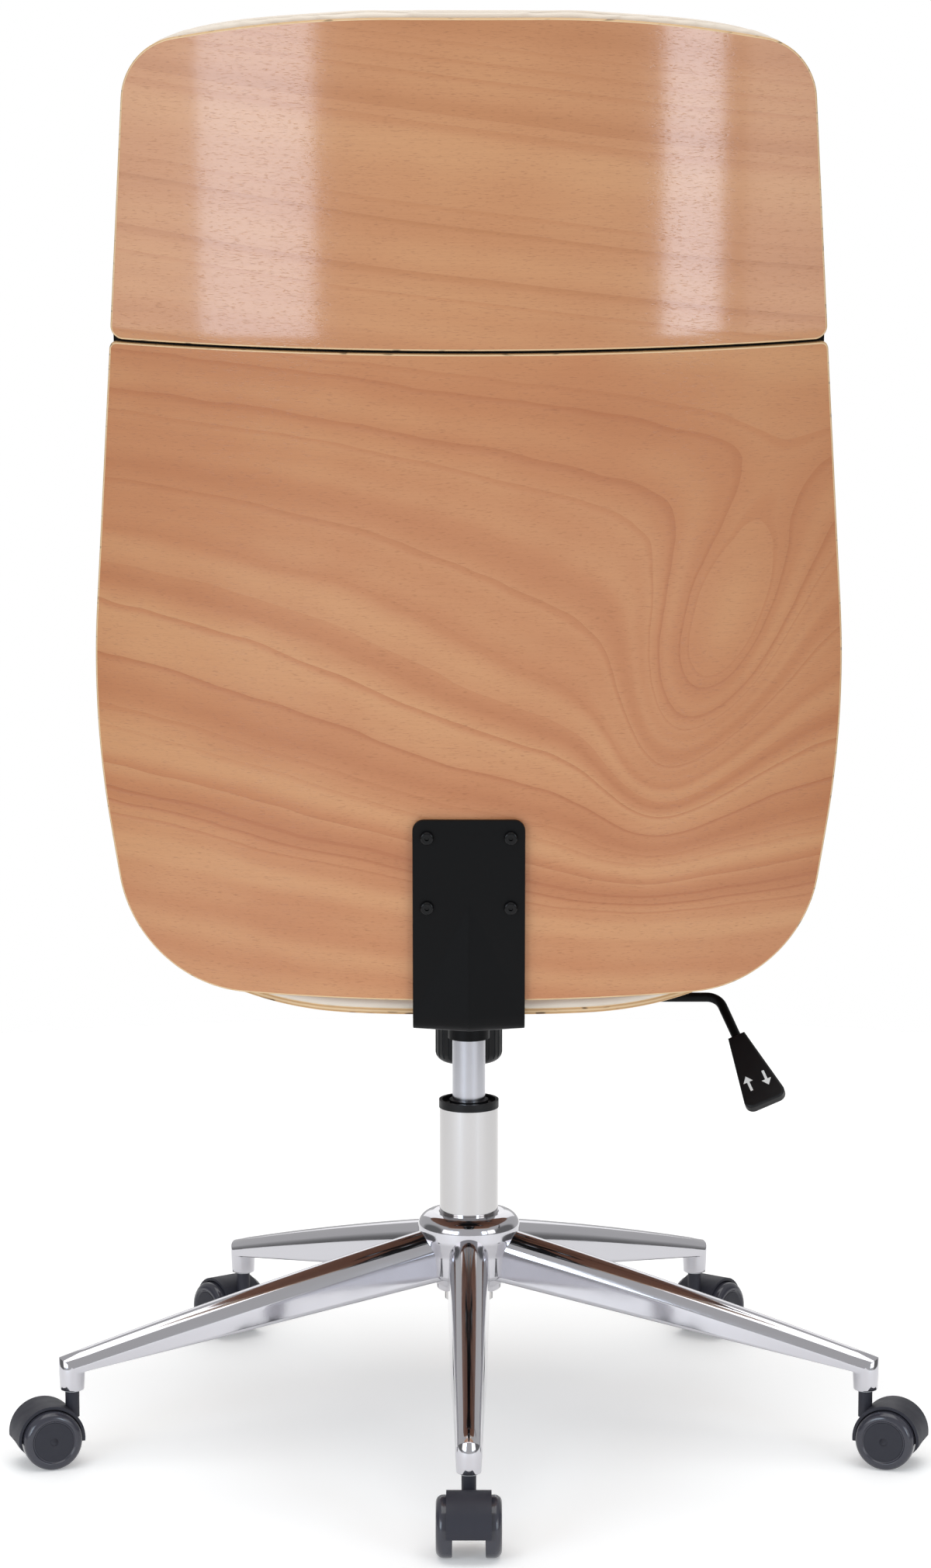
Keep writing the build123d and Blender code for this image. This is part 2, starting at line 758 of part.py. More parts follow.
def seat_cushion():
    """Crowned cushion with drawn-in sides that follows the seat shell."""
    path = seat_path()
    plan = seat_outline(cushion_inset)
    rear_start = seat_ply + cushion_inset
    roll = math.asin((seat_front - cushion_inset - seat_front_bend) / seat_front_radius)
    front_end = seat_rear + seat_ply + seat_front_bend + seat_front_radius * roll
    base = seat_ply / 2
    sections = []
    for share in slices():
        along = rear_start + share * (front_end - rear_start)
        place = Plane(
            origin=path.position_at(along, position_mode=PositionMode.LENGTH),
            x_dir=(1, 0, 0),
            z_dir=path.tangent_at(along, position_mode=PositionMode.LENGTH),
        )
        half = half_width_at(plan, place.origin.Y)
        flat = min(seat_flat_half_width, half / 2)
        bend = (flat + half) / 2
        low = base + seat_rise(half)
        high = seat_ply + seat_rise(half) + cushion_edge * swollen(share)
        inner = half - cushion_draw_in * swollen(share)
        side = (half + cushion_side_bulge, (low + high) / 2)
        under = (bend, base / 2 + seat_rise(bend))
        outline = [
            ThreePointArc((-half, low), (-under[0], under[1]), (-flat, base)),
            Line((-flat, base), (flat, base)),
            ThreePointArc((flat, base), under, (half, low)),
            ThreePointArc((half, low), side, (inner, high)),
            ThreePointArc((inner, high), (0, seat_ply + cushion_thickness * swollen(share)), (-inner, high)),
            ThreePointArc((-inner, high), (-side[0], side[1]), (-half, low)),
        ]
        sections.append(place * make_face(outline))
    return loft(sections) - seat_band(-seat_ply, seat_ply + soft_gap)


def seat_plate():
    """Pressed plate under the seat with four wings and two ears that hang on the pivot."""
    wide = plate_half_width
    waist = plate_waist_half_width
    corners = [
        (waist, plate_rear_wing),
        (wide, plate_rear_wing),
        (wide, plate_rear),
        (-wide, plate_rear),
        (-wide, plate_rear_wing),
        (-waist, plate_rear_wing),
        (-waist, -plate_front_wing),
        (-wide, -plate_front_wing),
        (-wide, -plate_front),
        (wide, -plate_front),
        (wide, -plate_front_wing),
        (waist, -plate_front_wing),
    ]
    outline = make_face(Polyline(*corners, close=True))
    outline = fillet(outline.vertices(), plate_corner)
    plate = Pos(0, 0, plate_bottom) * extrude(outline, plate_sheet)
    for side in (-1, 1):
        reach = sorted((side * ear_inner, side * ear_outer))
        plate += slab(
            reach,
            (-pivot_forward - ear_half_length, -pivot_forward + ear_half_length),
            (pivot_height - ear_below_pivot, plate_bottom),
        )
    pivot_bore = Rot(0, 90, 0) * Cylinder(pivot_radius + run_clearance, far)
    plate -= Pos(0, -pivot_forward, pivot_height) * pivot_bore
    for place in plate_screw_places():
        plate -= place * disc(screw_radius + fit_clearance, 0, far)
    return plate


# Back
def back_path():
    """Side profile of the outer face on the centre line, from the foot to above the head."""
    foot = (back_foot_y, back_foot_z)
    lower = PolarLine(foot, back_lower_run, 90 - back_lower_lean)
    lumbar = JernArc(lower @ 1, lower % 1, back_lumbar_radius, back_lower_lean - back_upper_lean)
    upper = PolarLine(lumbar @ 1, back_upper_run, 90 - back_upper_lean)
    knee = JernArc(upper @ 1, upper % 1, back_knee_radius, back_upper_lean - head_lean)
    head = PolarLine(knee @ 1, head_run, 90 - head_lean)
    return Plane.YZ * Wire([lower, lumbar, upper, knee, head])


def back_frame(along):
    """Plane square to the side profile at a distance along it, with local Y towards the rear."""
    path = back_path()
    return Plane(
        origin=path.position_at(along, position_mode=PositionMode.LENGTH),
        x_dir=(1, 0, 0),
        z_dir=path.tangent_at(along, position_mode=PositionMode.LENGTH),
    )


def back_band(outer, inner):
    """Layer of the back between two depths in from its outer face."""
    half_angle = math.degrees(math.asin((back_half_width + 2 * back_ply) / back_radius))
    centre = (0, -back_radius)
    behind = CenterArc(centre, back_radius - outer, 90 - half_angle, 2 * half_angle)
    before = CenterArc(centre, back_radius - inner, 90 - half_angle, 2 * half_angle)
    ends = [Line(behind @ 0, before @ 0), Line(behind @ 1, before @ 1)]
    face = back_frame(0) * make_face([behind, before] + ends)
    return sweep(face, back_path())


def seam_length():
    """Distance along the side profile to the seam between the two shells."""
    return back_lower_run + math.radians(back_upper_lean - back_lower_lean) * back_lumbar_radius + (
        back_upper_run + math.radians(back_upper_lean - head_lean) * back_knee_radius / 2
    )


def outline_plane():
    """Plane that the back's outlines are drawn on, leaning with the seam, heights along its local Y."""
    lean = math.radians(outline_tilt)
    seam_point = back_frame(seam_length()).origin
    return Plane(origin=(0, seam_point.Y, 0), x_dir=(1, 0, 0), z_dir=(0, -math.cos(lean), math.sin(lean)))


def cut_through(outline):
    """Prism that cuts the back along an outline."""
    return extrude(outline_plane() * outline, far, both=True)


def between(height, low, low_value, high, high_value):
    """Value on a straight line at a height."""
    return low_value + (height - low) / (high - low) * (high_value - low_value)


def back_outline(bottom, top, inset, bottom_corner, top_corner):
    """Outline along the back shell's flanks between two heights, drawn in by an inset."""
    widest = back_widest_height
    low_half = between(bottom, back_bottom, back_bottom_half_width, widest, back_half_width) - inset
    top_half = between(top, widest, back_half_width, back_seam, back_seam_half_width) - inset
    wide = back_half_width - inset
    outline = make_face(Polyline(
        (-low_half, bottom),
        (low_half, bottom),
        (wide, widest),
        (top_half, top),
        (-top_half, top),
        (-wide, widest),
        close=True,
    ))
    outline = fillet(outline.vertices().group_by(Axis.Y)[1], back_flank_round)
    outline = fillet(outline.vertices().group_by(Axis.Y)[0], bottom_corner)
    return fillet(outline.vertices().group_by(Axis.Y)[-1], top_corner)


def head_outline(bottom, top, inset, bottom_corner, top_corner):
    """Outline along the headrest's sides with an arched top, drawn in by an inset."""
    shoulder = top - head_shoulder_drop
    side_top = head_top - head_shoulder_drop
    low_half = between(bottom, back_seam, back_seam_half_width, side_top, head_half_width) - inset
    top_half = between(shoulder, back_seam, back_seam_half_width, side_top, head_half_width) - inset
    outline = make_face([
        Line((-low_half, bottom), (low_half, bottom)),
        Line((low_half, bottom), (top_half, shoulder)),
        ThreePointArc((top_half, shoulder), (0, top), (-top_half, shoulder)),
        Line((-top_half, shoulder), (-low_half, bottom)),
    ])
    outline = fillet(outline.vertices().group_by(Axis.Y)[-1], top_corner)
    return fillet(outline.vertices().group_by(Axis.Y)[0], bottom_corner)


def bracket_plane(x, height):
    """Plane at a point of the straight lower back, local Z square to the bracket and towards the sitter."""
    along = (height - back_foot_z) / math.cos(math.radians(back_lower_lean))
    frame = back_frame(along)
    return Plane(origin=frame.origin + Vector(x, 0, 0), x_dir=(1, 0, 0), z_dir=-frame.y_dir)


def bracket_screw_planes():
    heights = (bracket_screw_low, bracket_screw_high)
    return [bracket_plane(side * bracket_screw_x, height) for side in (-1, 1) for height in heights]


def back_shell():
    top = back_seam - seam_gap / 2
    outline = back_outline(back_bottom, top, 0, back_bottom_corner, back_seam_corner)
    shell = back_band(0, back_ply) & cut_through(outline)
    for plane in bracket_screw_planes():
        shell -= plane * disc(nut_barrel_radius + fit_clearance, -back_ply, 2 * back_ply)
        shell -= plane * disc(nut_flange_radius + fit_clearance, back_ply - nut_sink, 2 * back_ply)
    return shell - strap_screw_holes()


def head_shell():
    outline = head_outline(back_seam + seam_gap / 2, head_top, 0, head_seam_corner, head_top_corner)
    return (back_band(0, back_ply) & cut_through(outline)) - strap_screw_holes()


def tee_nut(plane):
    """Flanged nut let into the shell from the padded side."""
    top = back_ply - nut_sink
    nut = disc(nut_barrel_radius, top - back_ply / 2, top) + disc(nut_flange_radius, top, top + nut_flange)
    return plane * (nut - disc(screw_radius + fit_clearance, -far, far))


def button_screw(plane):
    """Button-head socket screw through the bracket into its nut."""
    under = -bracket_gap - bracket_sheet
    head = disc(button_head_radius, under - button_head, under)
    head = fillet(head.edges().group_by(Axis.Z)[0], button_head / 2)
    screw = head + disc(screw_radius, under, back_ply - nut_sink)
    outer = under - button_head
    screw -= Pos(0, 0, outer) * extrude(RegularPolygon(button_socket_radius, 6), button_socket_depth)
    return plane * screw


def back_bracket():
    """Folded steel strip: a foot under the seat and an upright behind the back."""
    middle = bracket_gap + bracket_sheet / 2
    lean = math.radians(back_lower_lean)
    foot_z = seat_height - bracket_sheet / 2
    corner_y = back_foot_y + middle / math.cos(lean) + (foot_z - back_foot_z) * math.tan(lean)
    top_z = bracket_top + bracket_corner
    top_y = corner_y + (top_z - foot_z) * math.tan(lean)
    points = [(bracket_foot_front, foot_z), (corner_y, foot_z), (top_y, top_z)]
    path = Plane.YZ * FilletPolyline(*points, radius=bracket_bend)
    start = Plane(origin=path @ 0, x_dir=(1, 0, 0), z_dir=path % 0)
    section = start * Rectangle(bracket_width, bracket_sheet)
    face = make_face(Polyline(
        (-bracket_width, 0),
        (bracket_width, 0),
        (bracket_width, foot_z + bracket_bend),
        (bracket_width / 2, foot_z + bracket_bend),
        (bracket_width / 2, bracket_top),
        (-bracket_width / 2, bracket_top),
        (-bracket_width / 2, foot_z + bracket_bend),
        (-bracket_width, foot_z + bracket_bend),
        close=True,
    ))
    face = fillet(face.vertices().group_by(Axis.Y)[-1], bracket_corner)
    bracket = sweep(section, path) & extrude(Plane.XZ * face, far, both=True)
    for plane in bracket_screw_planes():
        bracket -= plane * disc(screw_radius + fit_clearance, -3 * bracket_sheet, bracket_sheet)
    for place in foot_screw_places():
        bracket -= place * disc(screw_radius + fit_clearance, 0, seat_height)
    return bracket


def strap_plane(x, from_seam, depth):
    """Plane on a layer of the back beside the seam, local Z towards the sitter."""
    frame = back_frame(seam_length() + from_seam)
    front = -frame.y_dir
    turn = math.asin(x / back_radius)
    inward = front * math.cos(turn) - Vector(1, 0, 0) * math.sin(turn)
    arc_middle = frame.origin + front * back_radius
    return Plane(origin=arc_middle - inward * (back_radius - depth), x_dir=frame.z_dir, z_dir=inward)


def strap_screw_planes():
    steps = (-strap_screw_far, -strap_screw_near, strap_screw_near, strap_screw_far)
    depth = back_ply + strap_sheet + fit_clearance
    return [strap_plane(side * strap_x, step, depth) for side in (-1, 1) for step in steps]


def strap_screw_holes():
    holes = Part()
    for plane in strap_screw_planes():
        low = -strap_screw_bite - strap_sheet
        holes += plane * disc(strap_screw_radius + fit_clearance, low, strap_sheet)
    return holes


def strap_room(width, low, high, reach):
    """Two curved strips across the seam between two depths."""
    strips = Rectangle(width, 2 * reach)
    strips = Pos(strap_x, back_seam) * strips + Pos(-strap_x, back_seam) * strips
    return back_band(low, high) & cut_through(strips)


def link_straps():
    return strap_room(strap_width, back_ply, back_ply + strap_sheet, strap_reach) - strap_screw_holes()


def strap_screw(plane):
    low = -strap_screw_bite - strap_sheet
    return plane * (disc(strap_screw_radius, low, 0) + disc(strap_head_radius, 0, strap_head))


def pad_slice(share, half, along):
    """Cross-section of a back pad: follows the shell, bulges at its sides and crowns to the front."""
    base = back_ply / 2
    edge_back = back_radius - math.sqrt((back_radius - base) ** 2 - half ** 2)
    shell_front = back_radius - math.sqrt((back_radius - back_ply) ** 2 - half ** 2)
    edge_front = shell_front + pad_edge * swollen(share)
    middle = back_ply + pad_thickness * swollen(share)
    inner = half - pad_draw_in * swollen(share)
    side = (half + pad_side_bulge, -(edge_back + edge_front) / 2)
    outline = [
        ThreePointArc((-half, -edge_back), (0, -base), (half, -edge_back)),
        ThreePointArc((half, -edge_back), side, (inner, -edge_front)),
        ThreePointArc((inner, -edge_front), (0, -middle), (-inner, -edge_front)),
        ThreePointArc((-inner, -edge_front), (-side[0], side[1]), (-half, -edge_back)),
    ]
    return back_frame(along) * make_face(outline)


def padded(outline):
    """Pad that fills an outline in front of its shell, with room for the straps behind it."""
    low = outline.bounding_box().min.Y
    high = outline.bounding_box().max.Y
    sections = []
    for share in slices():
        height = low + share * (high - low)
        along = seam_length() + height - back_seam
        sections.append(pad_slice(share, half_width_at(outline, height), along))
    pad = loft(sections) - back_band(-back_ply, back_ply + soft_gap)
    hidden = back_ply + strap_sheet + strap_head + soft_gap
    return pad - strap_room(strap_width + 2 * soft_gap, 0, hidden, strap_reach + soft_gap)


def back_pad():
    top = back_seam - pad_seam_inset
    return padded(back_outline(back_pad_bottom, top, pad_inset, pad_corner, pad_corner))


def headrest_pad():
    top = head_top + pad_above_head
    return padded(head_outline(back_seam + pad_seam_inset, top, pad_inset, pad_corner, head_top_corner))


# Write every piece to its own file
nodes = {
    "star_base": star_base(),
    "caster_sockets": group([place * caster_socket() for place in caster_places()]),
    "column_tube": column_tube(),
    "column_guide_sleeve": guide_sleeve(),
    "thrust_bearing": thrust_bearing(),
    "piston_rod": piston_rod(),
    "piston": piston(),
    "rod_end_clip": end_clip(),
    "gas_cylinder": gas_cylinder(),
    "rod_guide": rod_guide(),
    "release_pin": release_pin(),
    "cone_socket": cone_socket(),
    "tilt_housing": tilt_housing(),
    "pivot_pin": pivot_pin(),
    "tilt_spring": tilt_spring(),
    "spring_cup": spring_cup(),
    "tension_knob": tension_knob(),
    "tension_bolt": tension_bolt(),
    "lever_rod": lever_rod(),
    "lever_paddle": lever_paddle(),
    "fulcrum_ring": fulcrum_ring(),
    "seat_plate": seat_plate(),
    "seat_plate_screws": group([place * seat_screw(plate_bottom) for place in plate_screw_places()]),
    "seat_shell": seat_shell(),
    "seat_cushion": seat_cushion(),
    "back_bracket": back_bracket(),
    "bracket_foot_screws": group(
        [place * seat_screw(seat_height - bracket_sheet) for place in foot_screw_places()]
    ),
    "bracket_screws": group([button_screw(plane) for plane in bracket_screw_planes()]),
    "bracket_nuts": group([tee_nut(plane) for plane in bracket_screw_planes()]),
    "back_shell": back_shell(),
    "headrest_shell": head_shell(),
    "link_straps": group(link_straps().solids()),
    "strap_screws": group([strap_screw(plane) for plane in strap_screw_planes()]),
    "back_pad": back_pad(),
    "headrest_pad": headrest_pad(),
}
for i, place in enumerate(caster_places(), start=1):
    nodes[f"caster_{i}_hood"] = place * caster_hood()
    nodes[f"caster_{i}_stem"] = place * caster_stem()
    nodes[f"caster_{i}_axle"] = place * caster_axle()
    nodes[f"caster_{i}_wheel_left"] = place * caster_wheel(1)
    nodes[f"caster_{i}_wheel_right"] = place * caster_wheel(-1)

os.makedirs("parts", exist_ok=True)
for name, shape in nodes.items():
    export_step(shape, f"parts/{name}.step")
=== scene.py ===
"""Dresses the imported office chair: bentwood shells, leatherette pads, polished base, studio and camera."""
import json
import math

import bmesh
import bpy
import numpy as np
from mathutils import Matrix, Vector
from mathutils.bvhtree import BVHTree


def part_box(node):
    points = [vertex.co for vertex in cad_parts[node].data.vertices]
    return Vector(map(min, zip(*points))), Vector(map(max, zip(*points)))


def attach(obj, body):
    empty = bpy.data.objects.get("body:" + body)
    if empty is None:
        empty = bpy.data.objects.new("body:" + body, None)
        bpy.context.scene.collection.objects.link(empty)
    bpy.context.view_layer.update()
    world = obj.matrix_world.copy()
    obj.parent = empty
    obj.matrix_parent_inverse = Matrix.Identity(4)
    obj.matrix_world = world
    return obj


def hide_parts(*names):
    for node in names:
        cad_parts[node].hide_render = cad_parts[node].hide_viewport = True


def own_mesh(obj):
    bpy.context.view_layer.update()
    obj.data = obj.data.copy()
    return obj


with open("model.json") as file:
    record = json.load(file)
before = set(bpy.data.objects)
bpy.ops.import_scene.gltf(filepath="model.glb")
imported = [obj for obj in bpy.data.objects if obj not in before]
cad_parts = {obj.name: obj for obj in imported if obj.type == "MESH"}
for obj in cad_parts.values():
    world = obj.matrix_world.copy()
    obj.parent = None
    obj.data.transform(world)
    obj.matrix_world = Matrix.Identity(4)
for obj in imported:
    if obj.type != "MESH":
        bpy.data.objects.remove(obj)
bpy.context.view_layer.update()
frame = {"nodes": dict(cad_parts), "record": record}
nodes = frame["nodes"]
MM = 0.001

# Sizes of the bentwood shells and the bracket in millimetres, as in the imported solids
back_radius = 600.0
back_ply = 8.0
back_foot = (234.0, 395.5)
back_runs = (191.0, 188.496, 167.0, 34.907, 290.0)
back_leans = (7.0, 7.0, 13.0, 13.0, 3.0, 3.0)
seam_along = sum(back_runs[:3]) + back_runs[3] / 2
outline_tilt = math.radians(3.5)
back_bottom = 414.5
back_widest = 635.5
back_seam = 948.5
seam_gap = 2.5
head_top = 1204.5
seat_height = 403.5
seat_ply = 10.0
seat_flat = 100.0
seat_side_radius = 450.0
seat_front_bend = 160.0
seat_front_radius = 180.0
bracket_sheet = 4.0
bracket_gap = 0.1
bracket_bend = 8.0
bracket_half_width = 45.0
bracket_top = 572.5
bracket_foot_front = 98.0
edge_round = 1.3
shade_strip_sink = 0.5


# Small tools for nodes and materials
def linear(code):
    """Linear colour of an sRGB hex value."""
    parts = [int(code[i:i + 2], 16) / 255 for i in (1, 3, 5)]
    return [c / 12.92 if c <= 0.04045 else ((c + 0.055) / 1.055) ** 2.4 for c in parts] + [1.0]


def add(tree, kind, inputs, **settings):
    """Adds a shader node, sets it, and fills or links its inputs by name or number."""
    made = tree.nodes.new("ShaderNode" + kind)
    for key, value in settings.items():
        setattr(made, key, value)
    for key, value in inputs.items():
        if isinstance(value, bpy.types.NodeSocket):
            tree.links.new(value, made.inputs[key])
        else:
            made.inputs[key].default_value = value
    return made


def finish_of(name, **sockets):
    """A material with its principled shader's sockets set."""
    material = bpy.data.materials.new(name)
    material.use_nodes = True
    tree = material.node_tree
    shader = tree.nodes["Principled BSDF"]
    for key, value in sockets.items():
        shader.inputs[key.replace("_", " ")].default_value = value
    return material, tree, shader


def ramp(tree, factor, stops):
    """Colour ramp through sRGB hex stops."""
    made = add(tree, "ValToRGB", {"Fac": factor})
    elements = made.color_ramp.elements
    while len(elements) < len(stops):
        elements.new(0.5)
    for element, (place, code) in zip(elements, stops):
        element.position = place
        element.color = linear(code)
    return made.outputs["Color"]


# Lacquered rotary-cut beech: a warm tan with soft wandering rings, short dark ray flecks along the grain
# and a thin clear coat that gives broad mild highlights
def beech(name, pale, mid, deep, slope, waves, ring_gap, knots, lacquer):
    material, tree, shader = finish_of(
        name, Roughness=0.5, Coat_Weight=lacquer, Coat_Roughness=0.12, Specular_IOR_Level=0.25
    )
    place = add(tree, "TexCoord", {}).outputs["Object"]
    axes = add(tree, "SeparateXYZ", {0: place}).outputs
    x, z = axes["X"], axes["Z"]
    field = add(tree, "Math", {0: x, 1: slope, 2: z}, operation="MULTIPLY_ADD").outputs[0]
    # the log's own wander: length and height of each wave in millimetres
    for length, height, seed in waves:
        shifted = add(tree, "VectorMath", {0: place, 1: (seed, seed, seed)}).outputs[0]
        squeezed = add(tree, "VectorMath", {0: shifted, 1: (0.5, 0.5, 1.0)}, operation="MULTIPLY").outputs[0]
        wander = {"Vector": squeezed, "Scale": 1000 / length, "Detail": 1.5}
        wander = add(tree, "TexNoise", wander).outputs["Fac"]
        field = add(tree, "Math", {0: wander, 1: height * MM, 2: field}, operation="MULTIPLY_ADD").outputs[0]
    # swirls round knots, each with its middle, half width, half height, lean and strength in millimetres
    for knot_x, knot_z, half_x, half_z, lean, strength in knots:
        up = add(tree, "Math", {0: z, 1: -knot_z * MM}, operation="ADD").outputs[0]
        across = add(tree, "Math", {0: up, 1: -lean, 2: x}, operation="MULTIPLY_ADD").outputs[0]
        across = add(tree, "Math", {0: across, 1: -knot_x * MM}, operation="ADD").outputs[0]
        across = add(tree, "Math", {0: across, 1: half_x * MM}, operation="DIVIDE").outputs[0]
        up = add(tree, "Math", {0: up, 1: half_z * MM}, operation="DIVIDE").outputs[0]
        square = add(tree, "Math", {0: across, 1: across}, operation="MULTIPLY").outputs[0]
        square = add(tree, "Math", {0: up, 1: up, 2: square}, operation="MULTIPLY_ADD").outputs[0]
        fall = add(tree, "Math", {0: square, 1: -1.0}, operation="MULTIPLY").outputs[0]
        swell = add(tree, "Math", {0: math.e, 1: fall}, operation="POWER").outputs[0]
        field = add(tree, "Math", {0: swell, 1: strength * MM, 2: field}, operation="MULTIPLY_ADD").outputs[0]
    # rings of uneven width: broad soft tone, and a thin late-wood line that some rings show more than others
    rings = add(tree, "Math", {0: field, 1: ring_gap * MM}, operation="DIVIDE").outputs[0]
    tone = {"W": rings, "Scale": 0.8, "Detail": 1.0}
    tone = add(tree, "TexNoise", tone, noise_dimensions="1D").outputs["Fac"]
    uneven = {"W": rings, "Scale": 0.9, "Detail": 0.0}
    uneven = add(tree, "TexNoise", uneven, noise_dimensions="1D").outputs["Fac"]
    saw = add(tree, "Math", {0: uneven, 1: 2.2, 2: rings}, operation="MULTIPLY_ADD").outputs[0]
    saw = add(tree, "Math", {0: saw}, operation="FRACT").outputs[0]
    line = {"Value": saw, "From Min": 0.66, "From Max": 0.97}
    line = add(tree, "MapRange", line, interpolation_type="SMOOTHSTEP").outputs[0]
    seen = {"W": rings, "Scale": 0.37, "Detail": 0.0}
    seen = add(tree, "TexNoise", seen, noise_dimensions="1D").outputs["Fac"]
    seen = add(tree, "MapRange", {"Value": seen, "From Min": 0.38, "From Max": 0.66}).outputs[0]
    line = add(tree, "Math", {0: line, 1: seen}, operation="MULTIPLY").outputs[0]
    shade = add(tree, "Math", {0: tone, 1: 0.7}, operation="MULTIPLY").outputs[0]
    shade = add(tree, "Math", {0: line, 1: 0.30, 2: shade}, operation="MULTIPLY_ADD").outputs[0]
    # cloudy colour about 130 mm across
    cloud = add(tree, "TexNoise", {"Vector": place, "Scale": 7.5, "Detail": 2.0}).outputs["Fac"]
    shade = add(tree, "Math", {0: cloud, 1: 0.35, 2: shade}, operation="MULTIPLY_ADD").outputs[0]
    colour = ramp(tree, shade, ((0.38, pale), (0.58, mid), (0.92, deep)))
    # fibres 50 mm long and 1.2 mm wide, and ray flecks 5 mm long and 0.7 mm wide
    for length, width, low, high, depth in ((50, 1.2, 0.35, 0.75, 0.07), (5, 0.7, 0.58, 0.74, 0.30)):
        stretch = (1000 / length, 1000 / length, 1000 / width)
        streak = add(tree, "VectorMath", {0: place, 1: stretch}, operation="MULTIPLY").outputs[0]
        streak = add(tree, "TexNoise", {"Vector": streak, "Scale": 1.0, "Detail": 1.0}).outputs["Fac"]
        limits = {"Value": streak, "From Min": low, "From Max": high, "To Max": depth}
        streak = add(tree, "MapRange", limits).outputs[0]
        dark = {0: streak, 6: colour, 7: linear("#7d4a2d")}
        colour = add(tree, "Mix", dark, data_type="RGBA").outputs[2]
    tree.links.new(colour, shader.inputs["Base Color"])
    # the late wood stands about a tenth of a millimetre proud under the lacquer, and the flecks sink
    height = add(tree, "Math", {0: streak, 1: -1.0, 2: line}, operation="MULTIPLY_ADD").outputs[0]
    relief = add(tree, "Bump", {"Height": height, "Strength": 1.0, "Distance": 0.14 * MM}).outputs[0]
    tree.links.new(relief, shader.inputs["Normal"])
    tree.links.new(relief, shader.inputs["Coat Normal"])
    return material


# Sawn and sanded edge of the plywood: pale and darker veneers in turn, with short voids in the darker ones
def ply_edge(name, thickness, plies):
    material, tree, shader = finish_of(name, Roughness=0.6, Specular_IOR_Level=0.3)
    depth = add(tree, "Attribute", {}, attribute_name="ply_depth").outputs["Fac"]
    layer = add(tree, "Math", {0: depth, 1: plies / thickness}, operation="MULTIPLY").outputs[0]
    place = add(tree, "TexCoord", {}).outputs["Object"]
    # each veneer wanders by up to half its thickness about every 17 mm
    wave = add(tree, "TexNoise", {"Vector": place, "Scale": 60.0, "Detail": 2.0}).outputs["Fac"]
    layer = add(tree, "Math", {0: wave, 1: 0.5, 2: layer}, operation="MULTIPLY_ADD").outputs[0]
    turn = add(tree, "Math", {0: layer, 1: 1.0}, operation="PINGPONG").outputs[0]
    colour = ramp(tree, turn, ((0.25, "#d9bd95"), (0.55, "#cdab80"), (0.85, "#bb9468")))
    # voids about 12 mm long and 1 mm high in every other veneer
    stretch = add(tree, "VectorMath", {0: place, 1: (80.0, 80.0, 420.0)}, operation="MULTIPLY").outputs[0]
    void = add(tree, "TexNoise", {"Vector": stretch, "Scale": 1.0, "Detail": 0.0}).outputs["Fac"]
    void = add(tree, "MapRange", {"Value": void, "From Min": 0.70, "From Max": 0.78}).outputs[0]
    void = add(tree, "Math", {0: void, 1: turn}, operation="MULTIPLY").outputs[0]
    colour = add(tree, "Mix", {0: void, 6: colour, 7: linear("#3a2416")}, data_type="RGBA").outputs[2]
    tree.links.new(colour, shader.inputs["Base Color"])
    return material


# Polyurethane leatherette: embossed pebble grain about 1.6 mm across under a soft satin film
def leatherette(name):
    material, tree, shader = finish_of(name, Roughness=0.46, Specular_IOR_Level=0.45, Sheen_Weight=0.08)
    place = add(tree, "TexCoord", {}).outputs["Object"]
    bend = add(tree, "TexNoise", {"Vector": place, "Scale": 300.0, "Detail": 2.0}).outputs["Color"]
    bend_size = 3 * (0.7 * MM,)
    bent = add(tree, "VectorMath", {0: bend, 1: bend_size, 2: place}, operation="MULTIPLY_ADD")
    pebbles = add(tree, "TexVoronoi", {"Vector": bent.outputs[0], "Scale": 620.0}, feature="SMOOTH_F1")
    # the film's colour drifts a little about every 60 mm
    folds = add(tree, "TexNoise", {"Vector": place, "Scale": 16.0, "Detail": 3.0}).outputs["Fac"]
    colour = ramp(tree, folds, ((0.3, "#d3c7b8"), (0.7, "#dacfc1")))
    tree.links.new(colour, shader.inputs["Base Color"])
    rough = {"Value": pebbles.outputs["Distance"], "From Max": 0.8, "To Min": 0.40, "To Max": 0.55}
    tree.links.new(add(tree, "MapRange", rough).outputs[0], shader.inputs["Roughness"])
    grain = {"Height": pebbles.outputs["Distance"], "Strength": 0.25, "Distance": 0.3 * MM}
    tree.links.new(add(tree, "Bump", grain, invert=True).outputs[0], shader.inputs["Normal"])
    return material


# Metals and plastics that vary only a little: a fine mottle in roughness and a grain in the surface
def plain(name, code, metallic, rough, spread, mottle_mm, grain_mm, grain_depth, **sockets):
    material, tree, shader = finish_of(name, Base_Color=linear(code), Metallic=metallic, **sockets)
    place = add(tree, "TexCoord", {}).outputs["Object"]
    mottle = add(tree, "TexNoise", {"Vector": place, "Scale": 1000 / mottle_mm, "Detail": 3.0}).outputs["Fac"]
    limits = {"Value": mottle, "From Min": 0.3, "From Max": 0.7}
    limits.update({"To Min": rough - spread, "To Max": rough + spread})
    tree.links.new(add(tree, "MapRange", limits).outputs[0], shader.inputs["Roughness"])
    if grain_depth:
        grain = add(tree, "TexNoise", {"Vector": place, "Scale": 1000 / grain_mm, "Detail": 2.0})
        bump = {"Height": grain.outputs["Fac"], "Strength": 0.3, "Distance": grain_depth * MM}
        tree.links.new(add(tree, "Bump", bump).outputs[0], shader.inputs["Normal"])
    return material


# die-cast and buffed: mirror bright with a faint orange peel
aluminium = plain("polished_cast_aluminium", "#c8c7cc", 1.0, 0.09, 0.03, 40, 9, 0.02)
# plated over a ground tube: the brightest, smoothest metal on the chair
chrome = plain("chromed_steel_tube", "#c3c1c1", 1.0, 0.10, 0.02, 60, 20, 0.0)
